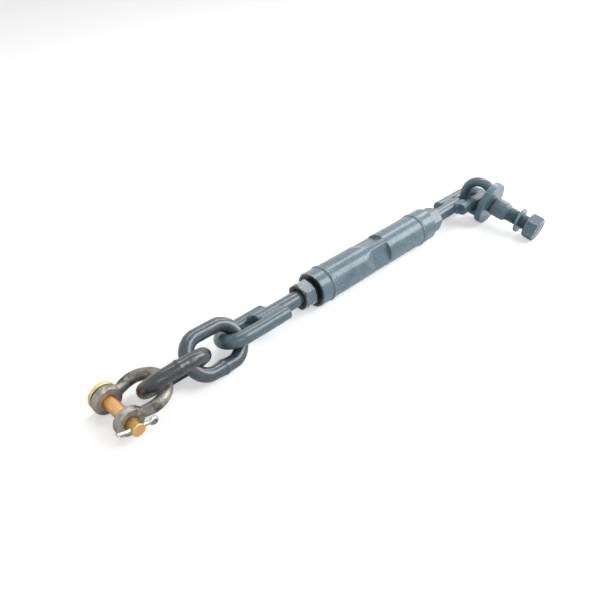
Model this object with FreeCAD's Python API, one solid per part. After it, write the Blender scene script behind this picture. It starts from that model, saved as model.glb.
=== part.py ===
# Chain stabilizer for a tractor's lower link: a turnbuckle with a chain and
# shackle at one end and a captive eye bolt at the other, lying on a flat floor.
#
# The model is drawn about the turnbuckle's axis: +X runs along it towards the
# eye bolt, -Y is the front, +Z is up, and X = 0 is the middle of the sleeve.
# At the end everything is moved so that the origin is the middle of the
# bounding box's bottom. All sizes are in millimetres, all angles in degrees.
import FreeCAD
import Part
import math
import os

from FreeCAD import Placement, Rotation, Vector

# Sleeve: a tube with four pressed wrench flats and a threaded bush in each end
TUBE_DIA = 42.0
TUBE_WALL = 4.0
TUBE_HALF_LENGTH = 84.0
FLATS_ACROSS = 34.0
FLATS_TURN = 22.5
FLATS_SHARP_END = 16.0
FLATS_DEEP_TO = -12.0
FLATS_FADE_TO = -25.0
FLATS_INNER_LAG = 3.0
BUSH_DIA = 42.6
LEFT_BUSH_REACH = 18.5
RIGHT_BUSH_REACH = 24.0
BUSH_SPIGOT = 24.0
BUSH_CHAMFER = 1.2
BUSH_INNER_CHAMFER = 1.0
SPIGOT_CLEARANCE = 0.1

# Weld beads that join the bushes to the tube
BEAD_WIDTH = 6.4
BEAD_CROWN = 1.5
BEAD_ROOT = 2.6

# Screws: rolled thread with a shank at pitch diameter
THREAD_DIA = 20.0
SHANK_DIA = 18.4
THREAD_CLEARANCE = 0.05
THREAD_CHAMFER = 1.5
ROD_GAP_AT_MIDDLE = 6.0
LEFT_ROD_REACH = 187.0
RIGHT_ROD_REACH = 188.0
THREAD_RUN_OUT = 3.0
SHANK_CHAMFER = 1.0

# Lock nuts
NUT_ACROSS_FLATS = 30.0
NUT_CHAMFER_ANGLE = 30.0
NUT_RIM_SHARE = 0.97
NUT_COUNTERSINK = 1.0
LEFT_NUT_THICKNESS = 14.0
LEFT_NUT_GAP = 6.0
LEFT_NUT_TURN = 46.0
RIGHT_NUT_THICKNESS = 21.0
RIGHT_NUT_GAP = 0.3
RIGHT_NUT_TURN = 16.0

# Forks: round bar bent to a U and welded to the screw's end
BAR_DIA = 16.0
FORK_SPACING = 35.3
FORK_DEPTH = 52.0
LEFT_FORK_TURN = 22.7
LEFT_FORK_REAR_LAP = 24.5
LEFT_FORK_FRONT_LAP = 32.0
RIGHT_FORK_TURN = 15.0
RIGHT_FORK_REAR_LAP = 23.5
RIGHT_FORK_FRONT_LAP = 19.5
FORK_WELD_RADIUS = 5.2
FORK_WELD_OUT = 8.4
FORK_WELD_INSET = 4.0
FORK_WELD_LIP = 1.0

# Chain links
LINK_LENGTH = 83.0
LINK_WIDTH = 58.0
LINK_SEAM_RISE = 0.9
LINK_SEAM_SINK = 0.3
LINK_SEAM_LENGTH = 11.0
INNER_LINK_PLAY = 2.0
INNER_LINK_SIDE = -1.4
INNER_LINK_RISE = -1.3
INNER_LINK_YAW = 3.8
INNER_LINK_PITCH = -5.2
INNER_LINK_TURN = -46.5
OUTER_LINK_PLAY = 0.4
OUTER_LINK_SIDE = -1.5
OUTER_LINK_RISE = 0.1
OUTER_LINK_YAW = -4.0
OUTER_LINK_PITCH = 3.6
OUTER_LINK_TURN = 52.4

# Shackle: forged bow with an eye at each end
BOW_BAR_DIA = 12.8
BOW_RADIUS = 24.0
BOW_ARC = 105.0
BOW_REACH = 51.8
EAR_THICKNESS = 12.5
EAR_RADIUS = 15.5
EAR_GAP = 22.6
EAR_FILLET = 2.0
NECK_WIDTH = 20.0
NECK_THICKNESS = 12.5
NECK_AT = 8.5
SHACKLE_SLACK = 7.8
SHACKLE_SIDE = 3.1
SHACKLE_RISE = 0.0
SHACKLE_YAW = 0.6
SHACKLE_PITCH = 8.0
SHACKLE_TURN = 1.8

# Shackle pin with a flat round head and a split pin
PIN_DIA = 16.0
PIN_CLEARANCE = 0.08
PIN_HEAD_DIA = 30.0
PIN_HEAD_THICKNESS = 5.0
PIN_HEAD_GAP = 1.0
PIN_HEAD_SEAT_MARGIN = 1.5
PIN_STICKS_OUT = 13.0
PIN_EDGE = 1.5
PIN_HEAD_EDGE = 1.0
SPLIT_PIN_AT = 8.3
SPLIT_PIN_DIA = 5.0
SPLIT_PIN_CLEARANCE = 0.15
SPLIT_PIN_LEG_GAP = 0.08
SPLIT_PIN_LEG = 30.0
SPLIT_PIN_SPREAD = 18.0
SPLIT_PIN_TAIL = 8.0
SPLIT_PIN_TAIL_BEND = 6.0
SPLIT_PIN_NECK_OUT = 0.6
SPLIT_PIN_NECK_BEND = 2.4
SPLIT_PIN_EYE_ANGLE = 60.0

# Eye bolt: eye, flange, locating shank and thread forged in one piece
EYE_RADIUS = 21.0
EYE_BAR_DIA = 13.4
EYE_BACK = 24.7
EYE_Y = -18.6
EYE_Z = 10.2
BOLT_YAW = -86.4
BOLT_PITCH = -9.9
EYE_TURN = 97.2
FLANGE_AT = 12.7
FLANGE_THICKNESS = 9.3
FLANGE_DIA = 58.8
FLANGE_EDGE = 1.6
UNDERCUT_DIA = 22.0
UNDERCUT_WIDTH = 4.0
BOLT_SHANK_DIA = 25.5
BOLT_SHANK_END = 44.0
BOLT_SHANK_FLATS = 24.2
BOLT_TAPER = 3.0
BOLT_END = 94.0

# Spring washer and nut on the eye bolt
WASHER_OUTSIDE_DIA = 34.0
WASHER_INSIDE_DIA = 21.4
WASHER_THICKNESS = 4.5
WASHER_SPLIT = 14.0
WASHER_RISE = 2.0
WASHER_AT = 66.0
WASHER_TILT = 4.0
WASHER_HANG_CLEARANCE = 0.5
END_NUT_THICKNESS = 16.5
END_NUT_TURN = 12.0

X_AXIS = Vector(1, 0, 0)
Y_AXIS = Vector(0, 1, 0)
Z_AXIS = Vector(0, 0, 1)
MIDDLE = Vector(0, 0, 0)

TUBE_R = TUBE_DIA / 2
BORE_R = TUBE_R - TUBE_WALL
BAR_R = BAR_DIA / 2
THREAD_R = THREAD_DIA / 2
THREAD_BORE_R = THREAD_R + THREAD_CLEARANCE


# Places

def heading(yaw, pitch):
    """Unit vector along a piece that is turned by yaw and lifted by pitch."""
    y, p = math.radians(yaw), math.radians(pitch)
    return Vector(math.cos(y) * math.cos(p), math.sin(y) * math.cos(p), math.sin(p))


def across(turn):
    """Unit vector square to the turnbuckle, from the front (-Y) up by turn."""
    t = math.radians(turn)
    return Vector(0, -math.cos(t), math.sin(t))


def place(origin, along, side):
    """Placement with local x on along and local y as near to side as it can be."""
    z = along.cross(side)
    z.normalize()
    return Placement(origin, Rotation(along, z.cross(along), z, "XZY"))


def fork_place(turn):
    return place(MIDDLE, X_AXIS, across(turn))


# Forms

def face_of(points):
    corners = [Vector(x, r, 0) for x, r in points]
    return Part.Face(Part.makePolygon(corners + corners[:1]))


def turned(points):
    """Solid turned about the x axis from (x, radius) corners."""
    return face_of(points).revolve(MIDDLE, X_AXIS, 360)


def bar(radius, x0, x1):
    return Part.makeCylinder(radius, x1 - x0, Vector(x0, 0, 0), X_AXIS)


def swept(path_edges, section_centre, section_normal, radius):
    """Round bar carried along a path of tangent edges."""
    section = Part.Wire(Part.makeCircle(radius, section_centre, section_normal))
    return Part.Wire(path_edges).makePipeShell([section], True, False)


def line(a, b):
    return Part.LineSegment(a, b).toShape()


def arc(a, b, c):
    return Part.Arc(a, b, c).toShape()


def ray(angle):
    """Unit vector in the local xy plane, angle counted from +x."""
    t = math.radians(angle)
    return Vector(math.cos(t), math.sin(t), 0)


def hexagon_nut(thickness, bore_radius, turn):
    """Nut on x = 0 to thickness, both rims turned down and the bore countersunk."""
    half = NUT_ACROSS_FLATS / 2
    corner = half / math.cos(math.radians(30))
    first = Vector(0, corner, 0)
    corners = [Rotation(X_AXIS, 60 * i).multVec(first) for i in range(6)]
    prism = Part.Face(Part.makePolygon(corners + corners[:1])).extrude(Vector(thickness, 0, 0))
    rim = half * NUT_RIM_SHARE
    drop = (corner - rim) * math.tan(math.radians(NUT_CHAMFER_ANGLE))
    body = prism.common(turned([(0, 0), (0, rim), (drop, corner), (thickness - drop, corner),
                                (thickness, rim), (thickness, 0)]))
    sink = NUT_COUNTERSINK
    mouth_r = bore_radius + 2 * sink
    bore = turned([(-sink, 0), (-sink, mouth_r), (sink, bore_radius), (thickness - sink, bore_radius),
                   (thickness + sink, mouth_r), (thickness + sink, 0)])
    nut = body.cut(bore)
    # A corner points at -Y before the turn, which is counted from -Y upwards
    nut.rotate(MIDDLE, X_AXIS, -turn)
    return nut


# Sleeve

def flat_cutter(depth_radius, outside_radius, lag):
    """Wedge that presses one flat: sharp at one end, fading out at the other."""
    top = outside_radius + 2
    slope = (outside_radius - depth_radius) / (FLATS_FADE_TO - FLATS_DEEP_TO)
    fade_top = FLATS_DEEP_TO + (top - depth_radius) / slope
    points = [(FLATS_SHARP_END - lag, depth_radius), (FLATS_SHARP_END + lag, top),
              (fade_top, top), (FLATS_DEEP_TO, depth_radius)]
    wedge = face_of(points).extrude(Vector(0, 0, 2 * outside_radius))
    wedge.translate(Vector(0, 0, -outside_radius))
    return wedge


def pressed(round_bar, depth_radius, outside_radius, lag):
    for quarter in range(4):
        cutter = flat_cutter(depth_radius, outside_radius, lag)
        # The cutter lies on +Y; the flats are counted from -Y upwards
        cutter.rotate(MIDDLE, X_AXIS, 180 - FLATS_TURN + 90 * quarter)
        round_bar = round_bar.cut(cutter)
    return round_bar


def groove_corner():
    """How far back the tube's edge is chamfered for the weld."""
    return BEAD_WIDTH / 2


def sleeve_tube():
    half = TUBE_HALF_LENGTH
    bevel = groove_corner()
    outside = turned([(-half, 0), (-half, TUBE_R - BEAD_ROOT), (bevel - half, TUBE_R),
                      (half - bevel, TUBE_R), (half, TUBE_R - BEAD_ROOT), (half, 0)])
    outside = pressed(outside, FLATS_ACROSS / 2, TUBE_R, 0)
    inside = pressed(bar(BORE_R, -half - 1, half + 1), FLATS_ACROSS / 2 - TUBE_WALL,
                     BORE_R, FLATS_INNER_LAG)
    return outside.cut(inside)


def end_bush(reach):
    """Bush on +X: a collar past the tube's end and a spigot inside it."""
    root = TUBE_HALF_LENGTH
    collar_r = BUSH_DIA / 2
    spigot_r = BORE_R - SPIGOT_CLEARANCE
    end = root + reach
    start = root - BUSH_SPIGOT
    bevel = groove_corner()
    inner = BUSH_INNER_CHAMFER
    return turned([(start, THREAD_BORE_R + inner), (start, spigot_r - inner), (start + inner, spigot_r),
                   (root, spigot_r), (root, TUBE_R - BEAD_ROOT), (root + bevel, collar_r),
                   (end - BUSH_CHAMFER, collar_r), (end, collar_r - BUSH_CHAMFER),
                   (end, THREAD_BORE_R + inner), (end - inner, THREAD_BORE_R),
                   (start + inner, THREAD_BORE_R)])


def bush_weld():
    """Ring of weld on +X that fills the groove and stands proud of the tube."""
    root = TUBE_HALF_LENGTH
    half = groove_corner()
    low = Vector(root - half, TUBE_R, 0)
    high = Vector(root + half, BUSH_DIA / 2, 0)
    crown = Vector(root, TUBE_R + BEAD_CROWN, 0)
    bottom = Vector(root, TUBE_R - BEAD_ROOT, 0)
    outline = Part.Wire([arc(low, crown, high), line(high, bottom), line(bottom, low)])
    return Part.Face(outline).revolve(MIDDLE, X_AXIS, 360)


def to_left(shape):
    """The same piece at the other end."""
    return shape.mirror(MIDDLE, X_AXIS)


def left_bush_end():
    return TUBE_HALF_LENGTH + LEFT_BUSH_REACH


def right_bush_end():
    return TUBE_HALF_LENGTH + RIGHT_BUSH_REACH


# Screws, lock nuts and forks

def screw_rod(reach, thread_end):
    """Rod on +X: thread from the middle to thread_end, plain shank beyond."""
    shank_r = SHANK_DIA / 2
    inner = ROD_GAP_AT_MIDDLE
    return turned([(inner, 0), (inner, THREAD_R - THREAD_CHAMFER), (inner + THREAD_CHAMFER, THREAD_R),
                   (thread_end - THREAD_RUN_OUT, THREAD_R), (thread_end, shank_r),
                   (reach - SHANK_CHAMFER, shank_r), (reach, shank_r - SHANK_CHAMFER), (reach, 0)])


def left_nut_start():
    return left_bush_end() + LEFT_NUT_GAP


def right_nut_start():
    return right_bush_end() + RIGHT_NUT_GAP


def left_lock_nut():
    nut = hexagon_nut(LEFT_NUT_THICKNESS, THREAD_BORE_R, LEFT_NUT_TURN)
    nut.translate(Vector(left_nut_start(), 0, 0))
    return to_left(nut)


def right_lock_nut():
    nut = hexagon_nut(RIGHT_NUT_THICKNESS, THREAD_BORE_R, RIGHT_NUT_TURN)
    nut.translate(Vector(right_nut_start(), 0, 0))
    return nut


def left_screw_rod():
    thread_end = left_nut_start() + LEFT_NUT_THICKNESS
    return to_left(screw_rod(LEFT_ROD_REACH, thread_end))


def right_screw_rod():
    thread_end = right_nut_start() + RIGHT_NUT_THICKNESS
    return screw_rod(RIGHT_ROD_REACH, thread_end)


def fork(rod_reach, rear_lap, front_lap):
    """U of round bar on +X, its legs in the local xy plane with the front on +y."""
    bend = FORK_SPACING / 2
    bend_x = rod_reach + FORK_DEPTH - BAR_R - bend
    front_tip = Vector(rod_reach - front_lap, bend, 0)
    rear_tip = Vector(rod_reach - rear_lap, -bend, 0)
    path = [line(front_tip, Vector(bend_x, bend, 0)),
            arc(Vector(bend_x, bend, 0), Vector(bend_x + bend, 0, 0), Vector(bend_x, -bend, 0)),
            line(Vector(bend_x, -bend, 0), rear_tip)]
    return swept(path, front_tip, X_AXIS, BAR_R)


def fork_weld(rod_reach, rear_lap, front_lap):
    """Four fillets, above and below each leg, that join it to the rod."""
    rod_keep_out = bar(SHANK_DIA / 2, 0, rod_reach + BAR_DIA)
    seam_y = (SHANK_DIA / 2 + FORK_SPACING / 2 - BAR_R) / 2
    x1 = rod_reach - FORK_WELD_INSET
    fillets = []
    for side, lap in ((1, front_lap), (-1, rear_lap)):
        x0 = rod_reach - lap + FORK_WELD_INSET
        leg_keep_out = bar(BAR_R, rod_reach - lap - FORK_WELD_LIP, rod_reach + BAR_DIA)
        leg_keep_out.translate(Vector(0, side * FORK_SPACING / 2, 0))
        for level in (1, -1):
            start = Vector(x0, side * seam_y, level * (FORK_WELD_OUT - FORK_WELD_RADIUS))
            end = Vector(x1, start.y, start.z)
            bead = Part.makeCylinder(FORK_WELD_RADIUS, x1 - x0, start, X_AXIS)
            bead = bead.fuse([Part.makeSphere(FORK_WELD_RADIUS, start),
                              Part.makeSphere(FORK_WELD_RADIUS, end)])
            corner = Vector(0, -BAR_DIA, min(0, level * BAR_DIA))
            half = Part.makeBox(rod_reach, BAR_DIA * 2, BAR_DIA, corner)
            bead = bead.common(half).cut(rod_keep_out).cut(leg_keep_out)
            fillets.extend(bead.Solids)
    return Part.Compound(fillets)


def place_left_fork(shape):
    """Mirrors a fork piece to -X and turns it; its local front stays at the front."""
    shape = to_left(shape)
    shape.Placement = fork_place(LEFT_FORK_TURN).multiply(shape.Placement)
    return shape


def place_right_fork(shape):
    shape.Placement = fork_place(RIGHT_FORK_TURN).multiply(shape.Placement)
    return shape


# Chain links

def link_crown():
    """Distance from a link's centre to its end bar's centre line."""
    return (LINK_LENGTH - BAR_DIA) / 2


def chain_link():
    """Closed oval of round bar in the local xy plane, with its butt weld on +y."""
    bend = (LINK_WIDTH - BAR_DIA) / 2
    straight = link_crown() - bend
    crown = link_crown()
    half_path = [line(Vector(0, bend, 0), Vector(straight, bend, 0)),
                 arc(Vector(straight, bend, 0), Vector(crown, 0, 0), Vector(straight, -bend, 0)),
                 line(Vector(straight, -bend, 0), Vector(0, -bend, 0))]
    half = swept(half_path, Vector(0, bend, 0), X_AXIS, BAR_R)
    seam_r = BAR_R + LINK_SEAM_RISE
    seam_half = LINK_SEAM_LENGTH / 2
    left_foot = Vector(-seam_half, BAR_R - LINK_SEAM_SINK, 0)
    right_foot = Vector(seam_half, left_foot.y, 0)
    left_root = Vector(-seam_half, 0, 0)
    right_root = Vector(seam_half, 0, 0)
    outline = Part.Wire([arc(left_foot, Vector(0, seam_r, 0), right_foot), line(right_foot, right_root),
                         line(right_root, left_root), line(left_root, left_foot)])
    seam = Part.Face(outline).revolve(MIDDLE, X_AXIS, 360)
    seam.translate(Vector(0, bend, 0))
    return half.fuse([half.mirror(MIDDLE, X_AXIS), seam]).removeSplitter()


def left_fork_crown():
    """Centre of the left fork's end bar."""
    return Vector(-(LEFT_ROD_REACH + FORK_DEPTH - BAR_R), 0, 0)


def right_fork_crown():
    return Vector(RIGHT_ROD_REACH + FORK_DEPTH - BAR_R, 0, 0)


def inner_link_place():
    along = heading(INNER_LINK_YAW, INNER_LINK_PITCH)
    offset = Vector(BAR_DIA + INNER_LINK_PLAY, INNER_LINK_SIDE, INNER_LINK_RISE)
    crown = left_fork_crown() + offset
    return place(crown - along * link_crown(), along, across(INNER_LINK_TURN))


def inner_link_far_crown():
    return inner_link_place().multVec(Vector(-link_crown(), 0, 0))


def outer_link_place():
    along = heading(OUTER_LINK_YAW, OUTER_LINK_PITCH)
    offset = Vector(BAR_DIA + OUTER_LINK_PLAY, OUTER_LINK_SIDE, OUTER_LINK_RISE)
    crown = inner_link_far_crown() + offset
    return place(crown - along * link_crown(), along, across(OUTER_LINK_TURN))


def outer_link_far_crown():
    return outer_link_place().multVec(Vector(-link_crown(), 0, 0))


# Shackle

def across_pin(radius, y0, y1):
    """Cylinder about the pin's axis, local y."""
    return Part.makeCylinder(radius, y1 - y0, Vector(0, y0, 0), Y_AXIS)


def shackle_place():
    """Local x from the pin to the bow, local y along the pin towards the front."""
    along = heading(SHACKLE_YAW, SHACKLE_PITCH)
    taut = BAR_R + BOW_BAR_DIA / 2
    bow = outer_link_far_crown() + Vector(taut + SHACKLE_SLACK, SHACKLE_SIDE, SHACKLE_RISE)
    return place(bow - along * BOW_REACH, along, across(SHACKLE_TURN))


def ear_outer():
    return EAR_GAP / 2 + EAR_THICKNESS


def shackle_arm(bow_end, direction, root):
    """Tapers from the bow's round end to the flat oval neck at an eye."""
    round_end = Part.Wire(Part.makeCircle(BOW_BAR_DIA / 2, bow_end, direction))
    oval = Part.Ellipse(MIDDLE, NECK_WIDTH / 2, NECK_THICKNESS / 2).toShape()
    # The oval stands across the arm, its long way along local z
    oval.Placement = Placement(root, Rotation(Z_AXIS, Y_AXIS, -X_AXIS, "XYZ"))
    return Part.makeLoft([round_end, Part.Wire(oval)], True, True)


def shackle_bow():
    arc_centre = Vector(BOW_REACH - BOW_RADIUS, 0, 0)
    front = arc_centre + ray(BOW_ARC) * BOW_RADIUS
    rear = arc_centre + ray(-BOW_ARC) * BOW_RADIUS
    tangent = ray(BOW_ARC + 90)
    bow = swept([arc(front, Vector(BOW_REACH, 0, 0), rear)], front, tangent, BOW_BAR_DIA / 2)
    pieces = []
    for bow_end, sign in ((front, 1), (rear, -1)):
        ear_y = sign * (EAR_GAP + EAR_THICKNESS) / 2
        direction = Vector(tangent.x, sign * tangent.y, 0)
        pieces.append(shackle_arm(bow_end, direction, Vector(NECK_AT, ear_y, 0)))
        ear = across_pin(EAR_RADIUS, ear_y - EAR_THICKNESS / 2, ear_y + EAR_THICKNESS / 2)
        pieces.append(ear.makeFillet(EAR_FILLET, [e for e in ear.Edges if e.Closed]))
    mouth = across_pin(EAR_RADIUS, -EAR_GAP / 2, EAR_GAP / 2)
    bore = across_pin(PIN_DIA / 2 + PIN_CLEARANCE, -2 * EAR_GAP, 2 * EAR_GAP)
    seat_r = PIN_HEAD_DIA / 2 + PIN_HEAD_SEAT_MARGIN
    head_seat = across_pin(seat_r, -ear_outer() - BOW_RADIUS, -ear_outer())
    return bow.fuse(pieces).cut([mouth, bore, head_seat]).removeSplitter()


def pin_end():
    return ear_outer() + PIN_STICKS_OUT


def split_pin_y():
    return ear_outer() + SPLIT_PIN_AT


def shackle_pin():
    """Pin along local y: flat round head behind the rear eye, cross hole in front."""
    radius = PIN_DIA / 2
    head_r = PIN_HEAD_DIA / 2
    edge = PIN_HEAD_EDGE
    under_head = -(ear_outer() + PIN_HEAD_GAP)
    top = under_head - PIN_HEAD_THICKNESS
    end = pin_end()
    pin = turned([(top, 0), (top, head_r - edge), (top + edge, head_r), (under_head - edge, head_r),
                  (under_head, head_r - edge), (under_head, radius), (end - PIN_EDGE, radius),
                  (end, radius - PIN_EDGE), (end, 0)])
    pin.rotate(MIDDLE, Z_AXIS, 90)
    hole = bar(SPLIT_PIN_DIA / 2 + SPLIT_PIN_CLEARANCE, -PIN_DIA, PIN_DIA)
    hole.translate(Vector(0, split_pin_y(), 0))
    return pin.cut(hole)


def half_round(radius, sign):
    """Half disc that lies across local x, its flat on the pin's middle."""
    top = Vector(0, sign * radius, 0)
    left = Vector(0, 0, -radius)
    right = Vector(0, 0, radius)
    return Part.Wire([arc(left, top, right), line(right, left)])


def split_pin_leg(sign):
    """One half of the split pin: tail, leg, neck and half of the eye."""
    gap = SPLIT_PIN_LEG_GAP
    neck_x = PIN_DIA / 2 + SPLIT_PIN_NECK_OUT
    neck_start = Vector(neck_x, sign * gap, 0)
    neck_centre = neck_start + Vector(0, sign * SPLIT_PIN_NECK_BEND, 0)
    neck_mid = neck_centre + ray(-sign * (90 - SPLIT_PIN_EYE_ANGLE / 2)) * SPLIT_PIN_NECK_BEND
    neck_end = neck_centre + ray(-sign * (90 - SPLIT_PIN_EYE_ANGLE)) * SPLIT_PIN_NECK_BEND
    eye_r = abs(neck_end.y) / math.cos(math.radians(SPLIT_PIN_EYE_ANGLE))
    eye_centre = Vector(neck_end.x + eye_r * math.sin(math.radians(SPLIT_PIN_EYE_ANGLE)), 0, 0)
    eye_side = eye_centre + Vector(0, sign * eye_r, 0)
    eye_far = eye_centre + Vector(eye_r, 0, 0)
    tail_start = Vector(neck_x - SPLIT_PIN_LEG + SPLIT_PIN_TAIL, sign * gap, 0)
    tail_centre = tail_start + Vector(0, sign * SPLIT_PIN_TAIL_BEND, 0)
    tail_mid = tail_centre + ray(-sign * (90 + SPLIT_PIN_SPREAD / 2)) * SPLIT_PIN_TAIL_BEND
    tail_bent = tail_centre + ray(-sign * (90 + SPLIT_PIN_SPREAD)) * SPLIT_PIN_TAIL_BEND
    tail_end = tail_bent + ray(180 - sign * SPLIT_PIN_SPREAD) * SPLIT_PIN_TAIL
    path = [line(tail_end, tail_bent), arc(tail_bent, tail_mid, tail_start), line(tail_start, neck_start),
            arc(neck_start, neck_mid, neck_end), arc(neck_end, eye_side, eye_far)]
    section = half_round(SPLIT_PIN_DIA / 2 - gap, sign)
    section.rotate(MIDDLE, Z_AXIS, -sign * SPLIT_PIN_SPREAD)
    section.translate(tail_end)
    return Part.Wire(path).makePipeShell([section], True, False)


def cotter_pin():
    """Half-round wire: eye on +x, two legs through the pin, tails bent apart."""
    pin = split_pin_leg(1).fuse(split_pin_leg(-1)).removeSplitter()
    pin.rotate(MIDDLE, X_AXIS, 90)
    pin.translate(Vector(0, split_pin_y(), 0))
    return pin


# Eye bolt

def bolt_place():
    """Local x along the bolt from the eye's centre, local y in the eye's plane."""
    along = heading(BOLT_YAW, BOLT_PITCH)
    level = along.cross(Z_AXIS)
    level.normalize()
    rise = level.cross(along)
    turn = math.radians(EYE_TURN)
    side = level * math.cos(turn) + rise * math.sin(turn)
    return place(right_fork_crown() + Vector(-EYE_BACK, EYE_Y, EYE_Z), along, side)


def eye_bolt():
    flange_end = FLANGE_AT + FLANGE_THICKNESS
    shank_start = flange_end + UNDERCUT_WIDTH
    shank_r = BOLT_SHANK_DIA / 2
    flange_r = FLANGE_DIA / 2
    undercut_r = UNDERCUT_DIA / 2
    turned_part = turned([(FLANGE_AT, 0), (FLANGE_AT, flange_r - FLANGE_EDGE),
                          (FLANGE_AT + FLANGE_EDGE, flange_r), (flange_end - FLANGE_EDGE, flange_r),
                          (flange_end, flange_r - FLANGE_EDGE), (flange_end, undercut_r),
                          (shank_start, undercut_r), (shank_start, shank_r), (BOLT_SHANK_END, shank_r),
                          (BOLT_SHANK_END + BOLT_TAPER, THREAD_R),
                          (BOLT_END - THREAD_CHAMFER, THREAD_R), (BOLT_END, THREAD_R - THREAD_CHAMFER),
                          (BOLT_END, 0)])
    flats_length = BOLT_SHANK_END + BOLT_TAPER - shank_start
    for flat_y in (BOLT_SHANK_FLATS / 2, -BOLT_SHANK_FLATS / 2 - shank_r):
        block = Part.makeBox(flats_length, shank_r, BOLT_SHANK_DIA, Vector(shank_start, flat_y, -shank_r))
        turned_part = turned_part.cut(block)
    ring = Part.makeTorus(EYE_RADIUS, EYE_BAR_DIA / 2, MIDDLE, Z_AXIS)
    reach = EYE_RADIUS + EYE_BAR_DIA
    back = Part.makeBox(reach + FLANGE_AT + FLANGE_THICKNESS / 2, 2 * reach, 2 * reach,
                        Vector(-reach, -reach, -reach))
    return turned_part.fuse(ring.common(back)).removeSplitter()


def end_nut():
    nut = hexagon_nut(END_NUT_THICKNESS, THREAD_BORE_R, END_NUT_TURN)
    nut.translate(Vector(BOLT_END - END_NUT_THICKNESS, 0, 0))
    return nut


def spring_washer():
    """One turn of square bar, cut by a slanting split and sprung open."""
    mid_r = (WASHER_OUTSIDE_DIA + WASHER_INSIDE_DIA) / 4
    width = (WASHER_OUTSIDE_DIA - WASHER_INSIDE_DIA) / 2
    share = 1 - WASHER_SPLIT / 360
    helix = Part.makeHelix(WASHER_RISE / share, WASHER_RISE, mid_r)
    corners = [Vector(mid_r + a * width / 2, 0, b * WASHER_THICKNESS / 2)
               for a, b in ((-1, -1), (1, -1), (1, 1), (-1, 1))]
    section = Part.makePolygon(corners + corners[:1])
    coil = Part.Wire(helix.Edges).makePipeShell([section], True, True)
    coil.translate(Vector(0, 0, -WASHER_RISE / 2))
    coil.rotate(MIDDLE, Y_AXIS, 90)
    # It hangs on the thread, a little tilted
    hang = (WASHER_INSIDE_DIA - THREAD_DIA) / 2 - WASHER_HANG_CLEARANCE
    coil.rotate(MIDDLE, Z_AXIS, WASHER_TILT)
    coil.translate(Vector(WASHER_AT, 0, 0))
    return coil, hang


def dressed_parts():
    """Every piece in its place about the turnbuckle's axis, by node name."""
    bolt = bolt_place()
    washer, hang = spring_washer()
    left_fork_sizes = (LEFT_ROD_REACH, LEFT_FORK_REAR_LAP, LEFT_FORK_FRONT_LAP)
    right_fork_sizes = (RIGHT_ROD_REACH, RIGHT_FORK_REAR_LAP, RIGHT_FORK_FRONT_LAP)
    parts = {
        "sleeve_tube": sleeve_tube(),
        "left_end_bush": to_left(end_bush(LEFT_BUSH_REACH)),
        "right_end_bush": end_bush(RIGHT_BUSH_REACH),
        "left_bush_weld": to_left(bush_weld()),
        "right_bush_weld": bush_weld(),
        "left_lock_nut": left_lock_nut(),
        "right_lock_nut": right_lock_nut(),
        "left_screw_rod": left_screw_rod(),
        "right_screw_rod": right_screw_rod(),
        "left_fork": place_left_fork(fork(*left_fork_sizes)),
        "right_fork": place_right_fork(fork(*right_fork_sizes)),
        "left_fork_weld": place_left_fork(fork_weld(*left_fork_sizes)),
        "right_fork_weld": place_right_fork(fork_weld(*right_fork_sizes)),
        "link_inner": placed(chain_link(), inner_link_place()),
        "link_outer": placed(chain_link(), outer_link_place()),
        "shackle_bow": placed(shackle_bow(), shackle_place()),
        "shackle_pin": placed(shackle_pin(), shackle_place()),
        "cotter_pin": placed(cotter_pin(), shackle_place()),
        "eye_bolt": placed(eye_bolt(), bolt),
        "end_nut": placed(end_nut(), bolt),
        "spring_washer": placed(washer, bolt, Vector(0, 0, -hang)),
    }
    return parts


def placed(shape, placement, shift=MIDDLE):
    shape.Placement = placement.multiply(shape.Placement)
    shape.translate(shift)
    return shape


def to_floor(parts):
    """Vector that takes the middle of the bounding box's bottom to the origin."""
    box = Part.Compound(list(parts.values())).optimalBoundingBox(False, False)
    return Vector(-(box.XMin + box.XMax) / 2, -(box.YMin + box.YMax) / 2, -box.ZMin)


PARTS = dressed_parts()
SHIFT = to_floor(PARTS)
os.makedirs("parts", exist_ok=True)
for node, solid in PARTS.items():
    solid.translate(SHIFT)
    solid.exportStep(f"parts/{node}.step")
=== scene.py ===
"""Looks of a chain stabilizer for a tractor's lower link.

New surfaces are numpy grids in millimetres about the turnbuckle's axis, as the
part was drawn: +X towards the eye bolt, -Y the front, X = 0 the sleeve's middle.
They go into the row frame, in metres, when the mesh is made.
"""

import math

import bpy
import numpy as np
from mathutils import Matrix, Vector

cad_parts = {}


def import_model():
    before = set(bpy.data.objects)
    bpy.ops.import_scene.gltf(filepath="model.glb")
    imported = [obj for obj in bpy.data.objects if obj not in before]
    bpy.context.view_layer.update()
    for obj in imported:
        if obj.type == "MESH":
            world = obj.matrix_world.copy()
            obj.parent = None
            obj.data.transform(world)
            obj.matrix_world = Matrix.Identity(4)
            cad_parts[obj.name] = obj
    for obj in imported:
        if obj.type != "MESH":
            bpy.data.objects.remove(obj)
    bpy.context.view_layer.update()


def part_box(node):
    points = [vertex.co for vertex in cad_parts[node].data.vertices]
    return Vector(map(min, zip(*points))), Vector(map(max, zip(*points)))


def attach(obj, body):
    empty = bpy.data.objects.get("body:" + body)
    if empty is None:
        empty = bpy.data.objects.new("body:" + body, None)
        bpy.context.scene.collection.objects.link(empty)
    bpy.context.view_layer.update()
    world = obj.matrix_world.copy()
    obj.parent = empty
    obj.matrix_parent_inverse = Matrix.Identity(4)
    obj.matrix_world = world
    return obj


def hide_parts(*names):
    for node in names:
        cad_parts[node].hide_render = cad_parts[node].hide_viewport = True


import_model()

MM = 0.001
TURN = 2 * math.pi

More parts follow.
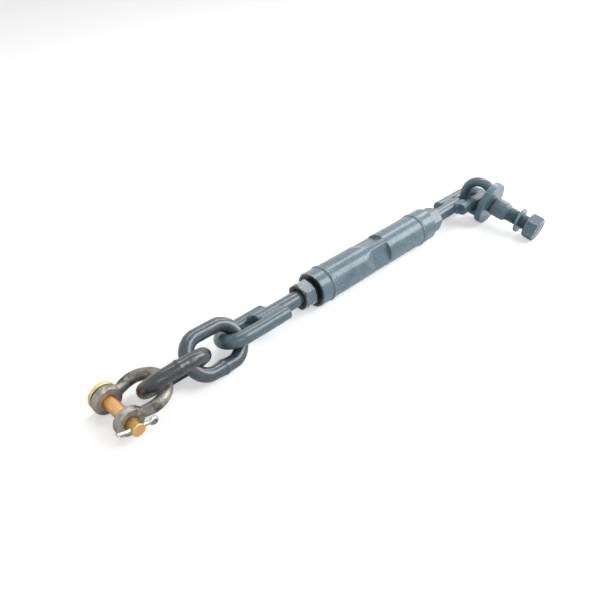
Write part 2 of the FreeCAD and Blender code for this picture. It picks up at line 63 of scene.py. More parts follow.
# Sleeve
TUBE_R = 21.0
TUBE_HALF = 84.0
BORE_R = 17.0
TUBE_INSIDE_R = 12.5
FLAT_AT = 17.0
FLATS_TURN = 22.5
FLAT_SHARP_END = 16.0
FLAT_DEEP_TO = -12.0
FLAT_FADE_TO = -25.0
COLLAR_R = 21.3
LEFT_COLLAR = 18.5
RIGHT_COLLAR = 24.0
BEAD_HALF = 3.3
BEAD_CROWN = 1.45
BEAD_SINK = 2.6
BEAD_DROPS = 34
LEFT_CHIP_AT = 98
RIGHT_CHIP_AT = 250
SPATTER = ((-1, 190), (1, 60))
SPATTER_REACH = 50

# Screws, nuts and forks
THREAD_R = 10.0
THREAD_DEPTH = 1.45
THREAD_PITCH = 2.5
SHANK_R = 9.2
BORE_CLEARANCE = 0.06
ROD_START = 6.0
LEFT_ROD = 187.0
RIGHT_ROD = 188.0
NUT_FLATS = 30.0
NUT_RIM_SHARE = 0.97
LEFT_NUT = 14.0
LEFT_NUT_GAP = 6.0
LEFT_NUT_TURN = 46.0
LEFT_NUT_BACK = 1.0
LEFT_NUT_GROWN = 1.8
RIGHT_NUT = 21.0
RIGHT_NUT_GAP = 0.3
RIGHT_NUT_TURN = 16.0
BAR_R = 8.0
FORK_SPACING = 35.3
FORK_DEPTH = 52.0
LEFT_FORK_TURN = 22.7
LEFT_REAR_LAP = 24.5
LEFT_FRONT_LAP = 32.0
RIGHT_FORK_TURN = 15.0
RIGHT_REAR_LAP = 23.5
RIGHT_FRONT_LAP = 19.5
FILLET_R = 5.2
FILLET_OUT = 3.2
FILLET_INSET = 4.0

# Chain and shackle
LINK_LENGTH = 83.0
LINK_WIDTH = 58.0
INNER_OFFSET = (18.0, -1.4, -1.3)
INNER_ANGLES = (3.8, -5.2, -46.5)
OUTER_OFFSET = (16.4, -1.5, 0.1)
OUTER_ANGLES = (-4.0, 3.6, 52.4)
BOW_BAR_R = 6.4
BOW_R = 24.0
BOW_ARC = 105.0
BOW_REACH = 51.8
EAR_R = 15.5
EAR_HALF = 4.8
EAR_MIDDLE = 19.5
EAR_ROUNDING = 3.8
NECK_AT = 9.1
NECK_TALL = 8.0
SHACKLE_OFFSET = (22.2, 3.1, 0.0)
SHACKLE_ANGLES = (0.6, 8.0, 1.8)
PIN_R = 7.0
EAR_BORE_R = 7.1
PIN_HEAD_R = 15.0
PIN_HEAD_THICK = 4.3
PIN_HEAD_GAP = 1.0
PIN_STICKS_OUT = 12.5
SPLIT_PIN_R = 2.25
SPLIT_PIN_AT = 7.6
SPLIT_PIN_TURN = 20.0
SPLIT_PIN_LEGS = ((1, 27.6), (-1, 31.6))
SPLIT_PIN_LEG_GAP = 0.08
SPLIT_PIN_NECK = 4.6
SPLIT_PIN_NECK_BEND = 6.4
SPLIT_PIN_NECK_ANGLE = 45
SPLIT_PIN_TAIL = 8.0
SPLIT_PIN_TAIL_BEND = 6.0
SPLIT_PIN_SPREAD = 7

# Eye bolt, washer and end nut
EYE_R = 21.0
EYE_BAR_R = 6.7
EYE_OFFSET = (-24.7, -18.6, 10.2)
EYE_ANGLES = (-86.4, -9.9, 97.2)
FLANGE_FROM = 12.7
FLANGE_TO = 22.0
FLANGE_R = 29.4
UNDERCUT_R = 11.0
BOLT_SHANK_FROM = 26.0
BOLT_SHANK_TO = 44.0
BOLT_SHANK_R = 12.75
BOLT_FLATS = 12.1
BOLT_END = 94.0
END_NUT = 16.5
END_NUT_TURN = 12.0
WASHER_AT = 66.0
WASHER_R = 13.85
WASHER_WIDTH = 5.2
WASHER_THICK = 3.4
WASHER_RISE = 2.0
WASHER_SPLIT = 14.0
WASHER_TILT = 4.0
WASHER_HANG = 0.2

# Room, in metres and degrees
LENS = 39
SENSOR = 36
CAMERA_OFFSET = (-0.5292, -0.4200, 0.4475)
CAMERA_TURN = (52.353, 0, -44.228)
ROOM_LIGHT = 0.22
FLOOR_HALF = 4.0
FLOOR_LIFT = 0.48


# Places

def axis_middle():
    """Middle of the sleeve in the row frame, in millimetres."""
    low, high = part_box("sleeve_tube")
    return np.array((low + high) / 2) / MM


MIDDLE = axis_middle()


def heading(yaw, pitch):
    """Unit vector turned by yaw from +X and lifted by pitch."""
    y, p = math.radians(yaw), math.radians(pitch)
    return np.array([math.cos(y) * math.cos(p), math.sin(y) * math.cos(p), math.sin(p)])


def across(turn):
    """Unit vector square to the turnbuckle, from the front up by turn."""
    t = math.radians(turn)
    return np.array([0.0, -math.cos(t), math.sin(t)])


def place(origin, along, side):
    """(origin, axes): local x on along, local y as near to side as it can be."""
    z = np.cross(along, side)
    z /= np.linalg.norm(z)
    return np.asarray(origin, float), np.array([along, np.cross(z, along), z])


def put(points, where):
    """Local points taken to their place."""
    origin, axes = where
    return origin + points @ axes


STRAIGHT = place((0, 0, 0), heading(0, 0), np.array([0.0, 1.0, 0.0]))


def fork_place(turn):
    return place((0, 0, 0), heading(0, 0), across(turn))


def link_place(crown, angles):
    """A link hangs by its crown on +x; angles are its yaw, pitch and turn."""
    along = heading(angles[0], angles[1])
    return place(np.asarray(crown) - along * link_crown(), along, across(angles[2]))


def link_crown():
    return (LINK_LENGTH - 2 * BAR_R) / 2


def far_crown(where):
    return put(np.array([-link_crown(), 0.0, 0.0]), where)


def inner_link_place():
    fork_crown = np.array([-(LEFT_ROD + FORK_DEPTH - BAR_R), 0.0, 0.0])
    return link_place(fork_crown + INNER_OFFSET, INNER_ANGLES)


def outer_link_place():
    return link_place(far_crown(inner_link_place()) + OUTER_OFFSET, OUTER_ANGLES)


def shackle_place():
    along = heading(SHACKLE_ANGLES[0], SHACKLE_ANGLES[1])
    bow = far_crown(outer_link_place()) + SHACKLE_OFFSET
    return place(bow - along * BOW_REACH, along, across(SHACKLE_ANGLES[2]))


def bolt_place():
    """Local x along the bolt from the eye's centre, local y in the eye's plane."""
    along = heading(EYE_ANGLES[0], EYE_ANGLES[1])
    level = np.cross(along, [0.0, 0.0, 1.0])
    level /= np.linalg.norm(level)
    rise = np.cross(level, along)
    turn = math.radians(EYE_ANGLES[2])
    crown = np.array([RIGHT_ROD + FORK_DEPTH - BAR_R, 0.0, 0.0])
    return place(crown + EYE_OFFSET, along, level * math.cos(turn) + rise * math.sin(turn))


# Number helpers

def smoothstep(a, b, x):
    """0 before a, 1 after b, and a smooth S between them."""
    t = np.clip((x - a) / (b - a), 0, 1)
    return t * t * (3 - 2 * t)


def soft_min(a, b, k):
    """The smaller of a and b, with the corner rounded over k."""
    h = np.clip(0.5 + 0.5 * (b - a) / k, 0, 1)
    return b * (1 - h) + a * h - k * h * (1 - h)


def waves(seed, *coordinates):
    """Smooth roughness from -1 to 1: a sum of sines at growing frequencies,
    with directions and phases drawn from the seed."""
    draw = np.random.default_rng(seed)
    total = 0.0
    for octave in range(5):
        phase = draw.uniform(0, TURN)
        argument = phase
        for c in coordinates:
            argument = argument + c * draw.uniform(0.7, 1.3) * 1.7 ** octave
        total = total + np.sin(argument) / 1.5 ** octave
    return total / 2.6


def circled(angle, size):
    """The angle as a point on a circle, so that waves close on themselves."""
    return np.cos(angle) * size, np.sin(angle) * size


def around(count):
    """Column angles round a closed section."""
    return np.linspace(0, TURN, count, endpoint=False)


# Meshes

def grid_faces(rows, columns, closed_rows, start):
    """Quads of a grid whose columns close on themselves."""
    last = rows if closed_rows else rows - 1
    i = np.arange(last)[:, None]
    j = np.arange(columns)[None, :]
    a = i * columns + j
    b = i * columns + (j + 1) % columns
    c = (i + 1) % rows * columns + (j + 1) % columns
    d = (i + 1) % rows * columns + j
    return start + np.stack([a, b, c, d], -1).reshape(-1, 4)


def cap_faces(ring, pole):
    """Triangles from a ring of vertices to the pole at its middle."""
    return np.stack([ring, np.roll(ring, -1), np.full(len(ring), pole)], -1)


def signed_volume(points, quads, triangles):
    def part(a, b, c):
        return np.einsum("ij,ij->", points[a], np.cross(points[b], points[c]))
    q, t = quads, triangles
    total = part(q[:, 0], q[:, 1], q[:, 2]) + part(q[:, 0], q[:, 2], q[:, 3])
    return total + (part(t[:, 0], t[:, 1], t[:, 2]) if len(t) else 0.0)


def shell(grid, closed_rows=False, mask=None):
    """A closed skin from a (rows, columns, 3) grid: columns close on themselves,
    and the rows close too or end in poles. mask is a value for each grid point."""
    rows, columns, _ = grid.shape
    points = grid.reshape(-1, 3)
    quads = grid_faces(rows, columns, closed_rows, 0)
    triangles = np.zeros((0, 3), int)
    mask = 0.0 if mask is None else mask
    values = np.broadcast_to(mask, (rows, columns)).reshape(-1)
    if not closed_rows:
        count = rows * columns
        points = np.vstack([points, grid[0].mean(0), grid[-1].mean(0)])
        first = cap_faces(np.arange(columns)[::-1], count)
        last = cap_faces(np.arange(count - columns, count), count + 1)
        triangles = np.vstack([first, last])
        values = np.append(values, [values[0], values[-1]])
    if signed_volume(points - points.mean(0), quads, triangles) < 0:
        quads, triangles = quads[:, ::-1], triangles[:, ::-1]
    return points, quads, triangles, values


def joined(shells):
    """Several skins as one."""
    points, quads, triangles, values = zip(*shells)
    starts = np.cumsum([0] + [len(p) for p in points[:-1]])
    quads = [q + start for q, start in zip(quads, starts)]
    triangles = [t + start for t, start in zip(triangles, starts)]
    return np.vstack(points), np.vstack(quads), np.vstack(triangles), np.concatenate(values)


def piece(name, skin, body, nodes, finish, sharp=35.0):
    """Makes the skin a mesh in the row frame, dresses it and puts it on its body."""
    points, quads, triangles, values = skin
    mesh = bpy.data.meshes.new(name)
    corners = np.concatenate([quads.reshape(-1), triangles.reshape(-1)]).astype(np.int32)
    sizes = np.concatenate([np.full(len(quads), 4), np.full(len(triangles), 3)])
    mesh.vertices.add(len(points))
    mesh.vertices.foreach_set("co", ((points + MIDDLE) * MM).astype(np.float32).reshape(-1))
    mesh.loops.add(len(corners))
    mesh.loops.foreach_set("vertex_index", corners)
    mesh.polygons.add(len(sizes))
    mesh.polygons.foreach_set("loop_start", (np.cumsum(sizes) - sizes).astype(np.int32))
    mesh.update(calc_edges=True)
    mesh.validate()
    # This attribute holds worn places above 0 and painted shade below 0.
    wear_and_shade = mesh.attributes.new("wear_and_shade", "FLOAT", "POINT")
    wear_and_shade.data.foreach_set("value", values.astype(np.float32))
    mesh.polygons.foreach_set("use_smooth", np.ones(len(sizes), bool))
    mesh.set_sharp_from_angle(angle=math.radians(sharp))
    mesh.materials.append(finish)
    thing = bpy.data.objects.new(name, mesh)
    bpy.context.scene.collection.objects.link(thing)
    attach(thing, body)
    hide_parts(*nodes)
    return thing


def pair(name, skins, body, node, finishes, sharp=35.0):
    """The same piece at the left and the right end, on the sleeve or on a body of
    its own side."""
    for side, skin, finish in zip(("left_", "right_"), skins, finishes):
        mover = body if body == "sleeve" else side + body
        piece(side + name, skin, mover, [side + node], finish, sharp=sharp)


# Surfaces

def lathe(stations, where=STRAIGHT, columns=96, shaped=None):
    """Turned about local x: each row is a circle at (x, radius) of stations, and
    shaped(x, r, angle) gives the dented or cut radius of each of its points."""
    at = np.asarray(stations, float)
    x, r, angle = np.broadcast_arrays(at[:, :1], at[:, 1:], around(columns)[None, :])
    if shaped is not None:
        r = shaped(x, r, angle)
    grid = np.stack([x, -r * np.cos(angle), r * np.sin(angle)], -1)
    return put(grid, where)


def rounded(corners, radius, steps=4):
    """An outline whose inner corners are turned into arcs of the given radius:
    each corner gives way to a quadratic curve between points on its two sides."""
    p = np.asarray(corners, float)
    out = [p[0]]
    t = np.linspace(0, 1, steps + 1)[:, None]
    for before, at, after in zip(p[:-2], p[1:-1], p[2:]):
        a, b = before - at, after - at
        la, lb = np.linalg.norm(a), np.linalg.norm(b)
        cut = min(radius, 0.45 * la, 0.45 * lb)
        start, end = at + a / la * cut, at + b / lb * cut
        out.extend((1 - t) ** 2 * start + 2 * t * (1 - t) * at + t ** 2 * end)
    out.append(p[-1])
    return np.array(out)


def dense(outline, step):
    """The outline with extra points, so that no stretch is longer than step."""
    p = np.asarray(outline, float)
    out = [p[:1]]
    for a, b in zip(p[:-1], p[1:]):
        n = max(1, int(np.ceil(np.linalg.norm(b - a) / step)))
        out.append(a + (b - a) * (np.arange(1, n + 1)[:, None] / n))
    return np.vstack(out)


def rim_mask(outline, corners, reach):
    """1 at the outline's named corners, fading to 0 at reach from them."""
    p = np.asarray(outline, float)[:, None, :]
    c = np.asarray(corners, float)[None, :, :]
    near = np.linalg.norm(p - c, axis=-1).min(1)
    return np.clip(1 - near / reach, 0, 1)[:, None]


def bar_along(path, normal, radius, columns=40, closed=False):
    """A bar carried along a flat path: at each point of the path the section is
    radius(s, angle) times the circle through the path's normal and its binormal.
    s is the distance along the path and angle counts from the outside of the bend."""
    path = np.asarray(path, float)
    ahead = np.roll(path, -1, 0) if closed else np.vstack([path[1:], 2 * path[-1] - path[-2]])
    behind = np.roll(path, 1, 0) if closed else np.vstack([2 * path[0] - path[1], path[:-1]])
    tangent = ahead - behind
    tangent /= np.linalg.norm(tangent, axis=1)[:, None]
    normal = np.asarray(normal, float)
    side = np.cross(tangent, normal)
    steps = np.linalg.norm(np.diff(path, axis=0), axis=1)
    s = np.concatenate([[0.0], np.cumsum(steps)])[:, None]
    angle = around(columns)[None, :]
    r = radius(s, angle)[..., None]
    cos, sin = np.cos(angle)[..., None], np.sin(angle)[..., None]
    return path[:, None, :] + r * (cos * side[:, None, :] + sin * normal)


# Threads, rods and nuts

def thread_dent(x, angle):
    """Depth of a rolled thread: flat crests and rounded roots, one helix a turn."""
    turn = (x / THREAD_PITCH - angle / TURN) % 1.0
    flank = np.clip((np.abs(turn - 0.5) - 0.07) / 0.36, 0, 1)
    return THREAD_DEPTH * (1 - smoothstep(0, 1, flank) * 0.35 - flank * 0.65)


def screw_rod(length, thread_end, side):
    """Rod on +x, threaded to thread_end and plain from there; side -1 mirrors it,
    which also turns its thread left-handed. The mask darkens the thread: dark oil,
    and painted shade in the gap between nut and collar."""
    chamfer = 1.5
    step = THREAD_PITCH / 12
    x = np.arange(ROD_START, thread_end + 2, step)
    plain = np.linspace(thread_end + 2 + step, length - 1, 30)
    stations = [(ROD_START, 0.02)] + [(v, THREAD_R) for v in x] + [(v, SHANK_R) for v in plain]
    stations += [(length - 0.3, SHANK_R - 0.25), (length, SHANK_R - 1), (length, 0.02)]

    def radius(x, r, angle):
        run_out = smoothstep(thread_end - 3, thread_end, x)
        in_thread = smoothstep(ROD_START - 1, ROD_START + 2, x) * (1 - run_out)
        body = THREAD_R + (SHANK_R - THREAD_R) * run_out
        threaded = body - thread_dent(x, angle) * in_thread
        start_cone = THREAD_R - chamfer + (x - ROD_START)
        rough = 0.04 * waves(5, x / 7, *circled(angle, 3))
        shaped = np.minimum(threaded, start_cone) + rough * (1 - in_thread)
        return np.where(r > SHANK_R - 0.1, shaped, r)

    local = lathe(stations, columns=44, shaped=radius)
    local[..., 0] *= side
    start = np.asarray(stations)[:, :1]
    # Dark oil on the thread, and painted shade where the thread shows in the gap by the nut.
    return shell(local, mask=-0.6 * (1 - smoothstep(thread_end - 4, thread_end + 2, start)))


def hexagon(angle, turn, half):
    """Distance to the flats of a hexagon with softened corners."""
    a = (angle + math.radians(turn)) % (TURN / 6) - TURN / 12
    return soft_min(half / np.cos(a), half / math.cos(TURN / 12) * 0.985 + 0.0 * a, 0.35)


def hex_nut(x0, thickness, turn, where=STRAIGHT, side=1, painted_shade=0.0):
    """Hexagon with both rims turned down to a cone, a countersunk bore and
    slightly wavy flats: r is the smaller of the hexagon and the two cones.
    The mask is 1 on rims and corners, and negative on the end faces, where it paints shade."""
    half = NUT_FLATS / 2
    rim = half * NUT_RIM_SHARE
    bore = THREAD_R + BORE_CLEARANCE
    x1 = x0 + thickness
    v = (1 - np.cos(np.linspace(0, math.pi, 30))) / 2
    outer = [(x0 + thickness * t, half) for t in v[1:-1]]
    face = [bore + 1 + k * (rim - bore - 1) / 4 for k in range(4)] + [rim]
    stations = [(x0 + 1, bore)] + [(x0, r) for r in face] + outer
    stations += [(x1, r) for r in face[::-1]] + [(x1 - 1, bore)]

    def radius(x, r, angle):
        depth = np.minimum(x - x0, x1 - x)
        cone = rim + depth * math.sqrt(3)
        shaped = soft_min(hexagon(angle, -turn, half), cone, 0.25)
        flat_wave = 0.05 * (waves(11, x / 4, *circled(angle, 2)) - 0.4)
        return np.where(np.isclose(r, half), shaped + flat_wave, r)

    local = lathe(stations, columns=144, shaped=radius)
    local[..., 0] *= side
    x = np.asarray(stations)[:, :1]
    r = np.linalg.norm(local[..., 1:], axis=-1)
    edge = np.clip(1 - np.minimum(np.abs(x - x0), np.abs(x - x1)) / 2.2, 0, 1)
    corner = np.clip((r - half - 0.9) / 0.9, 0, 1)
    wear_and_shade = np.clip(np.maximum(edge * (r > rim - 0.8), corner), 0, 1)
    # Painted shade on the end faces, darker as the given amount grows.
    wear_and_shade = np.where((edge > 0.8) & (r < rim - 0.8), -painted_shade, wear_and_shade)
    return shell(put(local, where), closed_rows=True, mask=wear_and_shade)


def lock_nuts(*finishes):
    left = TUBE_HALF + LEFT_COLLAR + LEFT_NUT_GAP - LEFT_NUT_BACK
    right = TUBE_HALF + RIGHT_COLLAR + RIGHT_NUT_GAP
    # The left nut's end faces get painted shade, as they sit in shadow.
    left_nut = hex_nut(left, LEFT_NUT + LEFT_NUT_GROWN, LEFT_NUT_TURN, side=-1, painted_shade=0.85)
    right_nut = hex_nut(right, RIGHT_NUT, RIGHT_NUT_TURN)
    pair("lock_nut_worn", (left_nut, right_nut), "lock_nut", "lock_nut", finishes)


def screws(*finishes):
    left_end = TUBE_HALF + LEFT_COLLAR + LEFT_NUT_GAP + LEFT_NUT
    right_end = TUBE_HALF + RIGHT_COLLAR + RIGHT_NUT_GAP + RIGHT_NUT
    skins = screw_rod(LEFT_ROD, left_end, -1), screw_rod(RIGHT_ROD, right_end, 1)
    pair("screw_threaded", skins, "screw", "screw_rod", finishes, sharp=50)


# Sleeve

def flat_depth(x):
    """Distance of a pressed flat from the axis: level, a soft ramp on the left
    and a quick step out on the right."""
    ramp = (TUBE_R - FLAT_AT) * np.clip((FLAT_DEEP_TO - x) / (FLAT_DEEP_TO - FLAT_FADE_TO), 0, 3)
    step = 6 * smoothstep(FLAT_SHARP_END - 0.2, FLAT_SHARP_END + 1.1, x)
    return FLAT_AT + ramp + step


def sleeve_radius(x, r, angle):
    """The tube's outside cut by four flats with softened borders and a few dents."""
    out = TUBE_R + 0.0 * x
    for quarter in range(4):
        a = (angle - math.radians(FLATS_TURN + 90 * quarter) + math.pi) % TURN - math.pi
        facing = np.maximum(np.cos(a), 0.2)
        out = soft_min(out, flat_depth(x) / facing, 0.4)
    dents = 0.05 * waves(3, x / 9, *circled(angle, 2.5))
    return np.where(r > BORE_R + 1, np.minimum(out + dents, TUBE_R + 0.08), r)


def sleeve_tube(finish):
    ends = dense([(-TUBE_HALF, TUBE_R), (TUBE_HALF, TUBE_R)], 0.6)
    stations = [(-TUBE_HALF, TUBE_INSIDE_R), (-TUBE_HALF, TUBE_R - 1)] + [tuple(p) for p in ends]
    stations += [(TUBE_HALF, TUBE_R - 1), (TUBE_HALF, TUBE_INSIDE_R)]
    inside = [(x, TUBE_INSIDE_R) for x in np.linspace(TUBE_HALF - 20, -TUBE_HALF + 20, 12)]
    grid = lathe(stations + inside, columns=180, shaped=sleeve_radius)
    near_bead = 0.8 * np.exp(-(grid[..., 0] + TUBE_HALF) / 16)
    skin = shell(grid, closed_rows=True, mask=near_bead)
    piece("sleeve_tube_pressed", skin, "sleeve", ["sleeve_tube"], finish, sharp=60)


def collar(reach, side, seed, chip_at):
    """Turned bush collar past the tube's end, its outer rim knocked. The mask opens
    one long chip on the rim at chip_at degrees and paints shade on the end face, in
    the gap before the nut."""
    x0, x1 = TUBE_HALF - 24, TUBE_HALF + reach
    bore = THREAD_R + BORE_CLEARANCE
    spigot = BORE_R - 0.1
    outline = [(x0 + 1, bore), (x0, bore + 1), (x0, spigot - 1), (x0 + 1, spigot),
               (TUBE_HALF, spigot), (TUBE_HALF, TUBE_R - BEAD_SINK), (TUBE_HALF + 3, COLLAR_R),
               (x1 - 0.3, COLLAR_R),
               (x1, COLLAR_R - 1.0), (x1, bore + 1), (x1 - 1, bore)]
    stations = dense(rounded(outline, 0.7), 0.8)

    def radius(x, r, angle):
        knock = np.clip(waves(seed, *circled(angle, 4), x / 3), 0, 1)
        near_rim = smoothstep(x1 - 2.5, x1, x) * (r > COLLAR_R - 2)
        return r - 0.45 * knock * near_rim - 0.05 * np.clip(waves(seed + 1, angle * 3, x / 5), 0, 1)

    grid = lathe(stations, columns=144, shaped=radius)
    grid[..., 0] *= side
    turn = (around(144) - math.radians(chip_at) + math.pi) % TURN - math.pi
    chip = 1.25 * smoothstep(0.62, 0.45, np.abs(turn))
    chip = chip + 0.55 * smoothstep(2.2, 1.4, np.abs(turn - 1.6))
    # Painted shade: the end face inside the rim goes near-black, as the gap to the nut lies in
    # shadow.
    on_face = (np.abs(stations[:, :1] - x1) < 0.5) & (stations[:, 1:] < COLLAR_R - 2.6)
    on_rim = rim_mask(stations, [(x1, COLLAR_R)], 3.4) * np.clip(chip, 0.25, 1.4)[None, :]
    mask = np.where(on_face, -0.9, on_rim)
    return shell(grid, closed_rows=True, mask=mask)


def collars(finish):
    left = collar(LEFT_COLLAR, -1, 21, LEFT_CHIP_AT)
    right = collar(RIGHT_COLLAR, 1, 27, RIGHT_CHIP_AT)
    pair("collar", (left, right), "sleeve", "end_bush", (finish, finish))


def ring_bead(side, seed):
    """Weld bead round the tube: an oval section whose crown steps up at each drop
    of the torch, with slow lumps where the welder stopped and started."""
    along = around(420)[:, None]
    section = around(22)[None, :]
    wobble = 0.35 * waves(seed, *circled(along, 3))
    swept = 0.35 * np.abs(np.sin(section / 2 - math.pi / 4))
    phase = (along / TURN * BEAD_DROPS + wobble - swept) % 1.0
    step = 1 - phase ** 2
    lump = waves(seed + 3, *circled(along, 2.2))
    half = BEAD_HALF * (1 + 0.22 * lump + 0.14 * step)
    height = BEAD_CROWN + BEAD_SINK
    r0 = TUBE_R - BEAD_SINK
    top = np.clip(np.sin(section), 0, 1)
    r = r0 + np.sin(section) * height * (0.84 + 0.06 * lump + 0.14 * step * top)
    stray = 0.5 * waves(seed + 5, *circled(along, 5))
    x = side * (TUBE_HALF + np.cos(section) * half + stray)
    r = np.clip(r, BORE_R + 0.3, TUBE_R + BEAD_CROWN + 0.1)
    return np.stack([x + 0.0 * r, -r * np.cos(along), r * np.sin(along)], -1)


def ring_beads(finish):
    left = shell(ring_bead(-1, 41), closed_rows=True)
    right = shell(ring_bead(1, 53), closed_rows=True)
    pair("ring_bead", (left, right), "sleeve", "bush_weld", (finish, finish), sharp=70)


def drop(centre, out, size):
    """A small flattened ball of spatter, half sunk in what it sits on."""
    v = np.linspace(0.12, math.pi - 0.12, 6)[:, None]
    u = around(9)[None, :]
    other = np.cross(out, [1.0, 0.0, 0.0])
    other /= np.linalg.norm(other)
    third = np.cross(out, other)
    level, wide = np.cos(v)[..., None], np.sin(v)[..., None]
    c, s = np.cos(u)[..., None], np.sin(u)[..., None]
    ball = level * 0.6 * out + wide * c * other + wide * s * third
    return shell(centre + ball * size)


def spatter(finish):
    """Drops of weld metal thrown on the tube beside both beads, most of them near."""
    draw = np.random.default_rng(8)
    drops = []
    for side, count in SPATTER:
        for _ in range(count):
            away = 1.0 + draw.exponential(7.0)
            turn = draw.uniform(0, TURN)
            size = draw.uniform(0.3, 0.95)
            x = side * (TUBE_HALF - min(away, SPATTER_REACH) - BEAD_HALF)
            out = np.array([0.0, -math.cos(turn), math.sin(turn)])
            drops.append(drop(np.array([x, 0.0, 0.0]) + out * (TUBE_R - 0.05), out, size))
    piece("weld_spatter", joined(drops), "sleeve", [], finish)


# Forks and their welds

def fork_path(front_end, middle, bend, rear_end):
    """Down the front leg, round the half circle about middle and up the rear leg."""
    t = np.radians(np.linspace(90, -90, 44))
    curve = np.stack([middle + bend * np.cos(t), bend * np.sin(t), 0 * t], -1)
    return dense(np.vstack([(front_end, bend, 0), curve, (rear_end, -bend, 0)]), 1.2)


def fork_bar(rod, rear_lap, front_lap, turn, side, seed):
    """U of round bar; the cut ends are rounded over and a little ragged."""
    bend = FORK_SPACING / 2
    middle = rod + FORK_DEPTH - BAR_R - bend
    path = fork_path(rod - front_lap, middle, bend, rod - rear_lap)
    first = path[0] + (path[1] - path[0]) * np.linspace(0, 0.95, 7)[:, None]
    last = path[-1] + (path[-2] - path[-1]) * np.linspace(0.95, 0, 7)[:, None]
    path = np.vstack([first, path[1:-1], last])
    length = np.linalg.norm(np.diff(path, axis=0), axis=1).sum()

    def radius(s, angle):
        edge = 1.3
        to_end = np.minimum(s, length - s)
        lip = np.sqrt(np.clip(1 - (1 - np.clip(to_end / edge, 0, 1)) ** 2, 0, 1)) * edge
        skin = 0.10 * (waves(seed, s / 8, *circled(angle, 2)) - 1)
        return BAR_R - edge + lip + skin

    grid = bar_along(path, (0, 0, 1), radius, columns=56)
    grid[..., 0] *= side
    to_end = np.minimum(np.arange(len(path)), np.arange(len(path))[::-1])[:, None]
    mask = 0.7 * np.clip(1 - to_end / 5.0, 0, 1)
    return shell(put(grid, fork_place(turn)), mask=mask)


def leg_bead(x0, x1, y, z, seed):
    """Fillet along a leg: a capsule about x whose skin is stacked in scallops."""
    t = (1 - np.cos(np.linspace(0.03, math.pi - 0.03, 90)))[:, None] / 2
    x = x0 - FILLET_R + (x1 - x0 + 2 * FILLET_R) * t
    angle = around(30)[None, :]
    end = np.clip(np.maximum(x0 - x, x - x1), 0, FILLET_R)
    base = np.sqrt(np.maximum(FILLET_R ** 2 - end ** 2, 0.02))
    phase = ((x - 1.1 * np.cos(angle) ** 2) / 2.1 + 0.25 * waves(seed, x / 6)) % 1.0
    rough = waves(seed + 1, x / 3, *circled(angle, 2))
    r = base * (1 - 0.055 * phase ** 2 + 0.03 * rough)
    return np.stack([x + 0.0 * r, y + r * np.cos(angle), z + r * np.sin(angle)], -1)


def fork_beads(rod, rear_lap, front_lap, turn, side, seed):
    y = (SHANK_R + FORK_SPACING / 2 - BAR_R) / 2
    skins = []
    for leg, lap in ((1, front_lap), (-1, rear_lap)):
        for level in (1, -1):
            first, last = rod - lap + FILLET_INSET, rod - FILLET_INSET
            grid = leg_bead(first, last, leg * y, level * FILLET_OUT, seed)
            grid[..., 0] *= side
            skins.append(shell(put(grid, fork_place(turn))))
            seed += 7
    return joined(skins)


def forks(finish, weld_finish):
    left = (LEFT_ROD, LEFT_REAR_LAP, LEFT_FRONT_LAP, LEFT_FORK_TURN, -1)
    right = (RIGHT_ROD, RIGHT_REAR_LAP, RIGHT_FRONT_LAP, RIGHT_FORK_TURN, 1)
    bars = fork_bar(*left, 61), fork_bar(*right, 67)
    beads = fork_beads(*left, 71), fork_beads(*right, 83)
    pair("fork_bar", bars, "screw", "fork", (finish, finish))
    pair("fork_beads", beads, "screw", "fork_weld", (weld_finish, weld_finish), sharp=60)


# Chain links

def link_bar(where, seed):
    """Oval of round bar: two half circles joined by straights. The butt weld on
    the +y straight stands out as a soft ring with a torn fin of flash, and the
    clamps that held it for welding left a shallow flat on each side."""
    bend = (LINK_WIDTH - 2 * BAR_R) / 2
    straight = link_crown() - bend
    t = np.radians(np.linspace(90, -90, 60))
    arc = np.stack([straight + bend * np.cos(t), bend * np.sin(t), 0 * t], -1)
    start = np.array([[0.0, bend, 0.0]])
    loop = dense(np.vstack([start, arc, -arc, start]), 0.7)[:-1]
    total = np.linalg.norm(np.diff(np.vstack([loop, loop[:1]]), axis=0), axis=1).sum()

    def radius(s, angle):
        from_weld = np.minimum(s, total - s)
        torn = 0.5 + 0.5 * waves(seed, *circled(angle, 5))
        upset = 0.75 * np.exp(-(from_weld / 3.6) ** 2)
        signed = np.where(s < total / 2, s, s - total)
        fin_at = 0.7 * waves(seed + 2, *circled(angle, 4))
        fin = 0.75 * torn * np.exp(-((signed - fin_at) / 0.55) ** 2)
        clamped = np.clip(np.cos(2 * angle) * 3 - 2, 0, 1)
        clamp = 0.5 * np.exp(-((from_weld - 12) / 4.5) ** 4) * clamped
        skin = 0.09 * (waves(seed + 4, s / 9, *circled(angle, 2.2)) - 1)
        return BAR_R + skin + upset + fin - clamp

    grid = bar_along(loop, (0, 0, 1), radius, columns=64, closed=True)
    s = np.concatenate([[0.0], np.cumsum(np.linalg.norm(np.diff(loop, axis=0), axis=1))])
    weld = np.exp(-(np.minimum(s, total - s) / 6.0) ** 2)[:, None]
    return shell(put(grid, where), closed_rows=True, mask=weld)


def links(inner_finish, outer_finish):
    inner, outer = link_bar(inner_link_place(), 91), link_bar(outer_link_place(), 97)
    piece("inner_link_bar", inner, "link_inner", ["link_inner"], inner_finish, sharp=50)
    piece("outer_link_bar", outer, "link_outer", ["link_outer"], outer_finish, sharp=50)


# Shackle

def shackle_ear(sign):
    """Eye: a thick washer about the pin with full-round rims and a bored hole."""
    y0, y1 = EAR_MIDDLE - EAR_HALF, EAR_MIDDLE + EAR_HALF
    lip = EAR_BORE_R + 0.7
    outline = [(y0 + 0.7, EAR_BORE_R), (y0, lip), (y0, EAR_R), (y1, EAR_R), (y1, lip),
               (y1 - 0.7, EAR_BORE_R)]
    stations = dense(rounded(outline, EAR_ROUNDING, 8), 0.8)
    grid = lathe(stations, columns=96)
    # The lathe's axis is local x; the pin's is local y
    turned = np.stack([-grid[..., 1], sign * grid[..., 0], grid[..., 2]], -1)
    return shell(put(turned, shackle_place()), closed_rows=True)


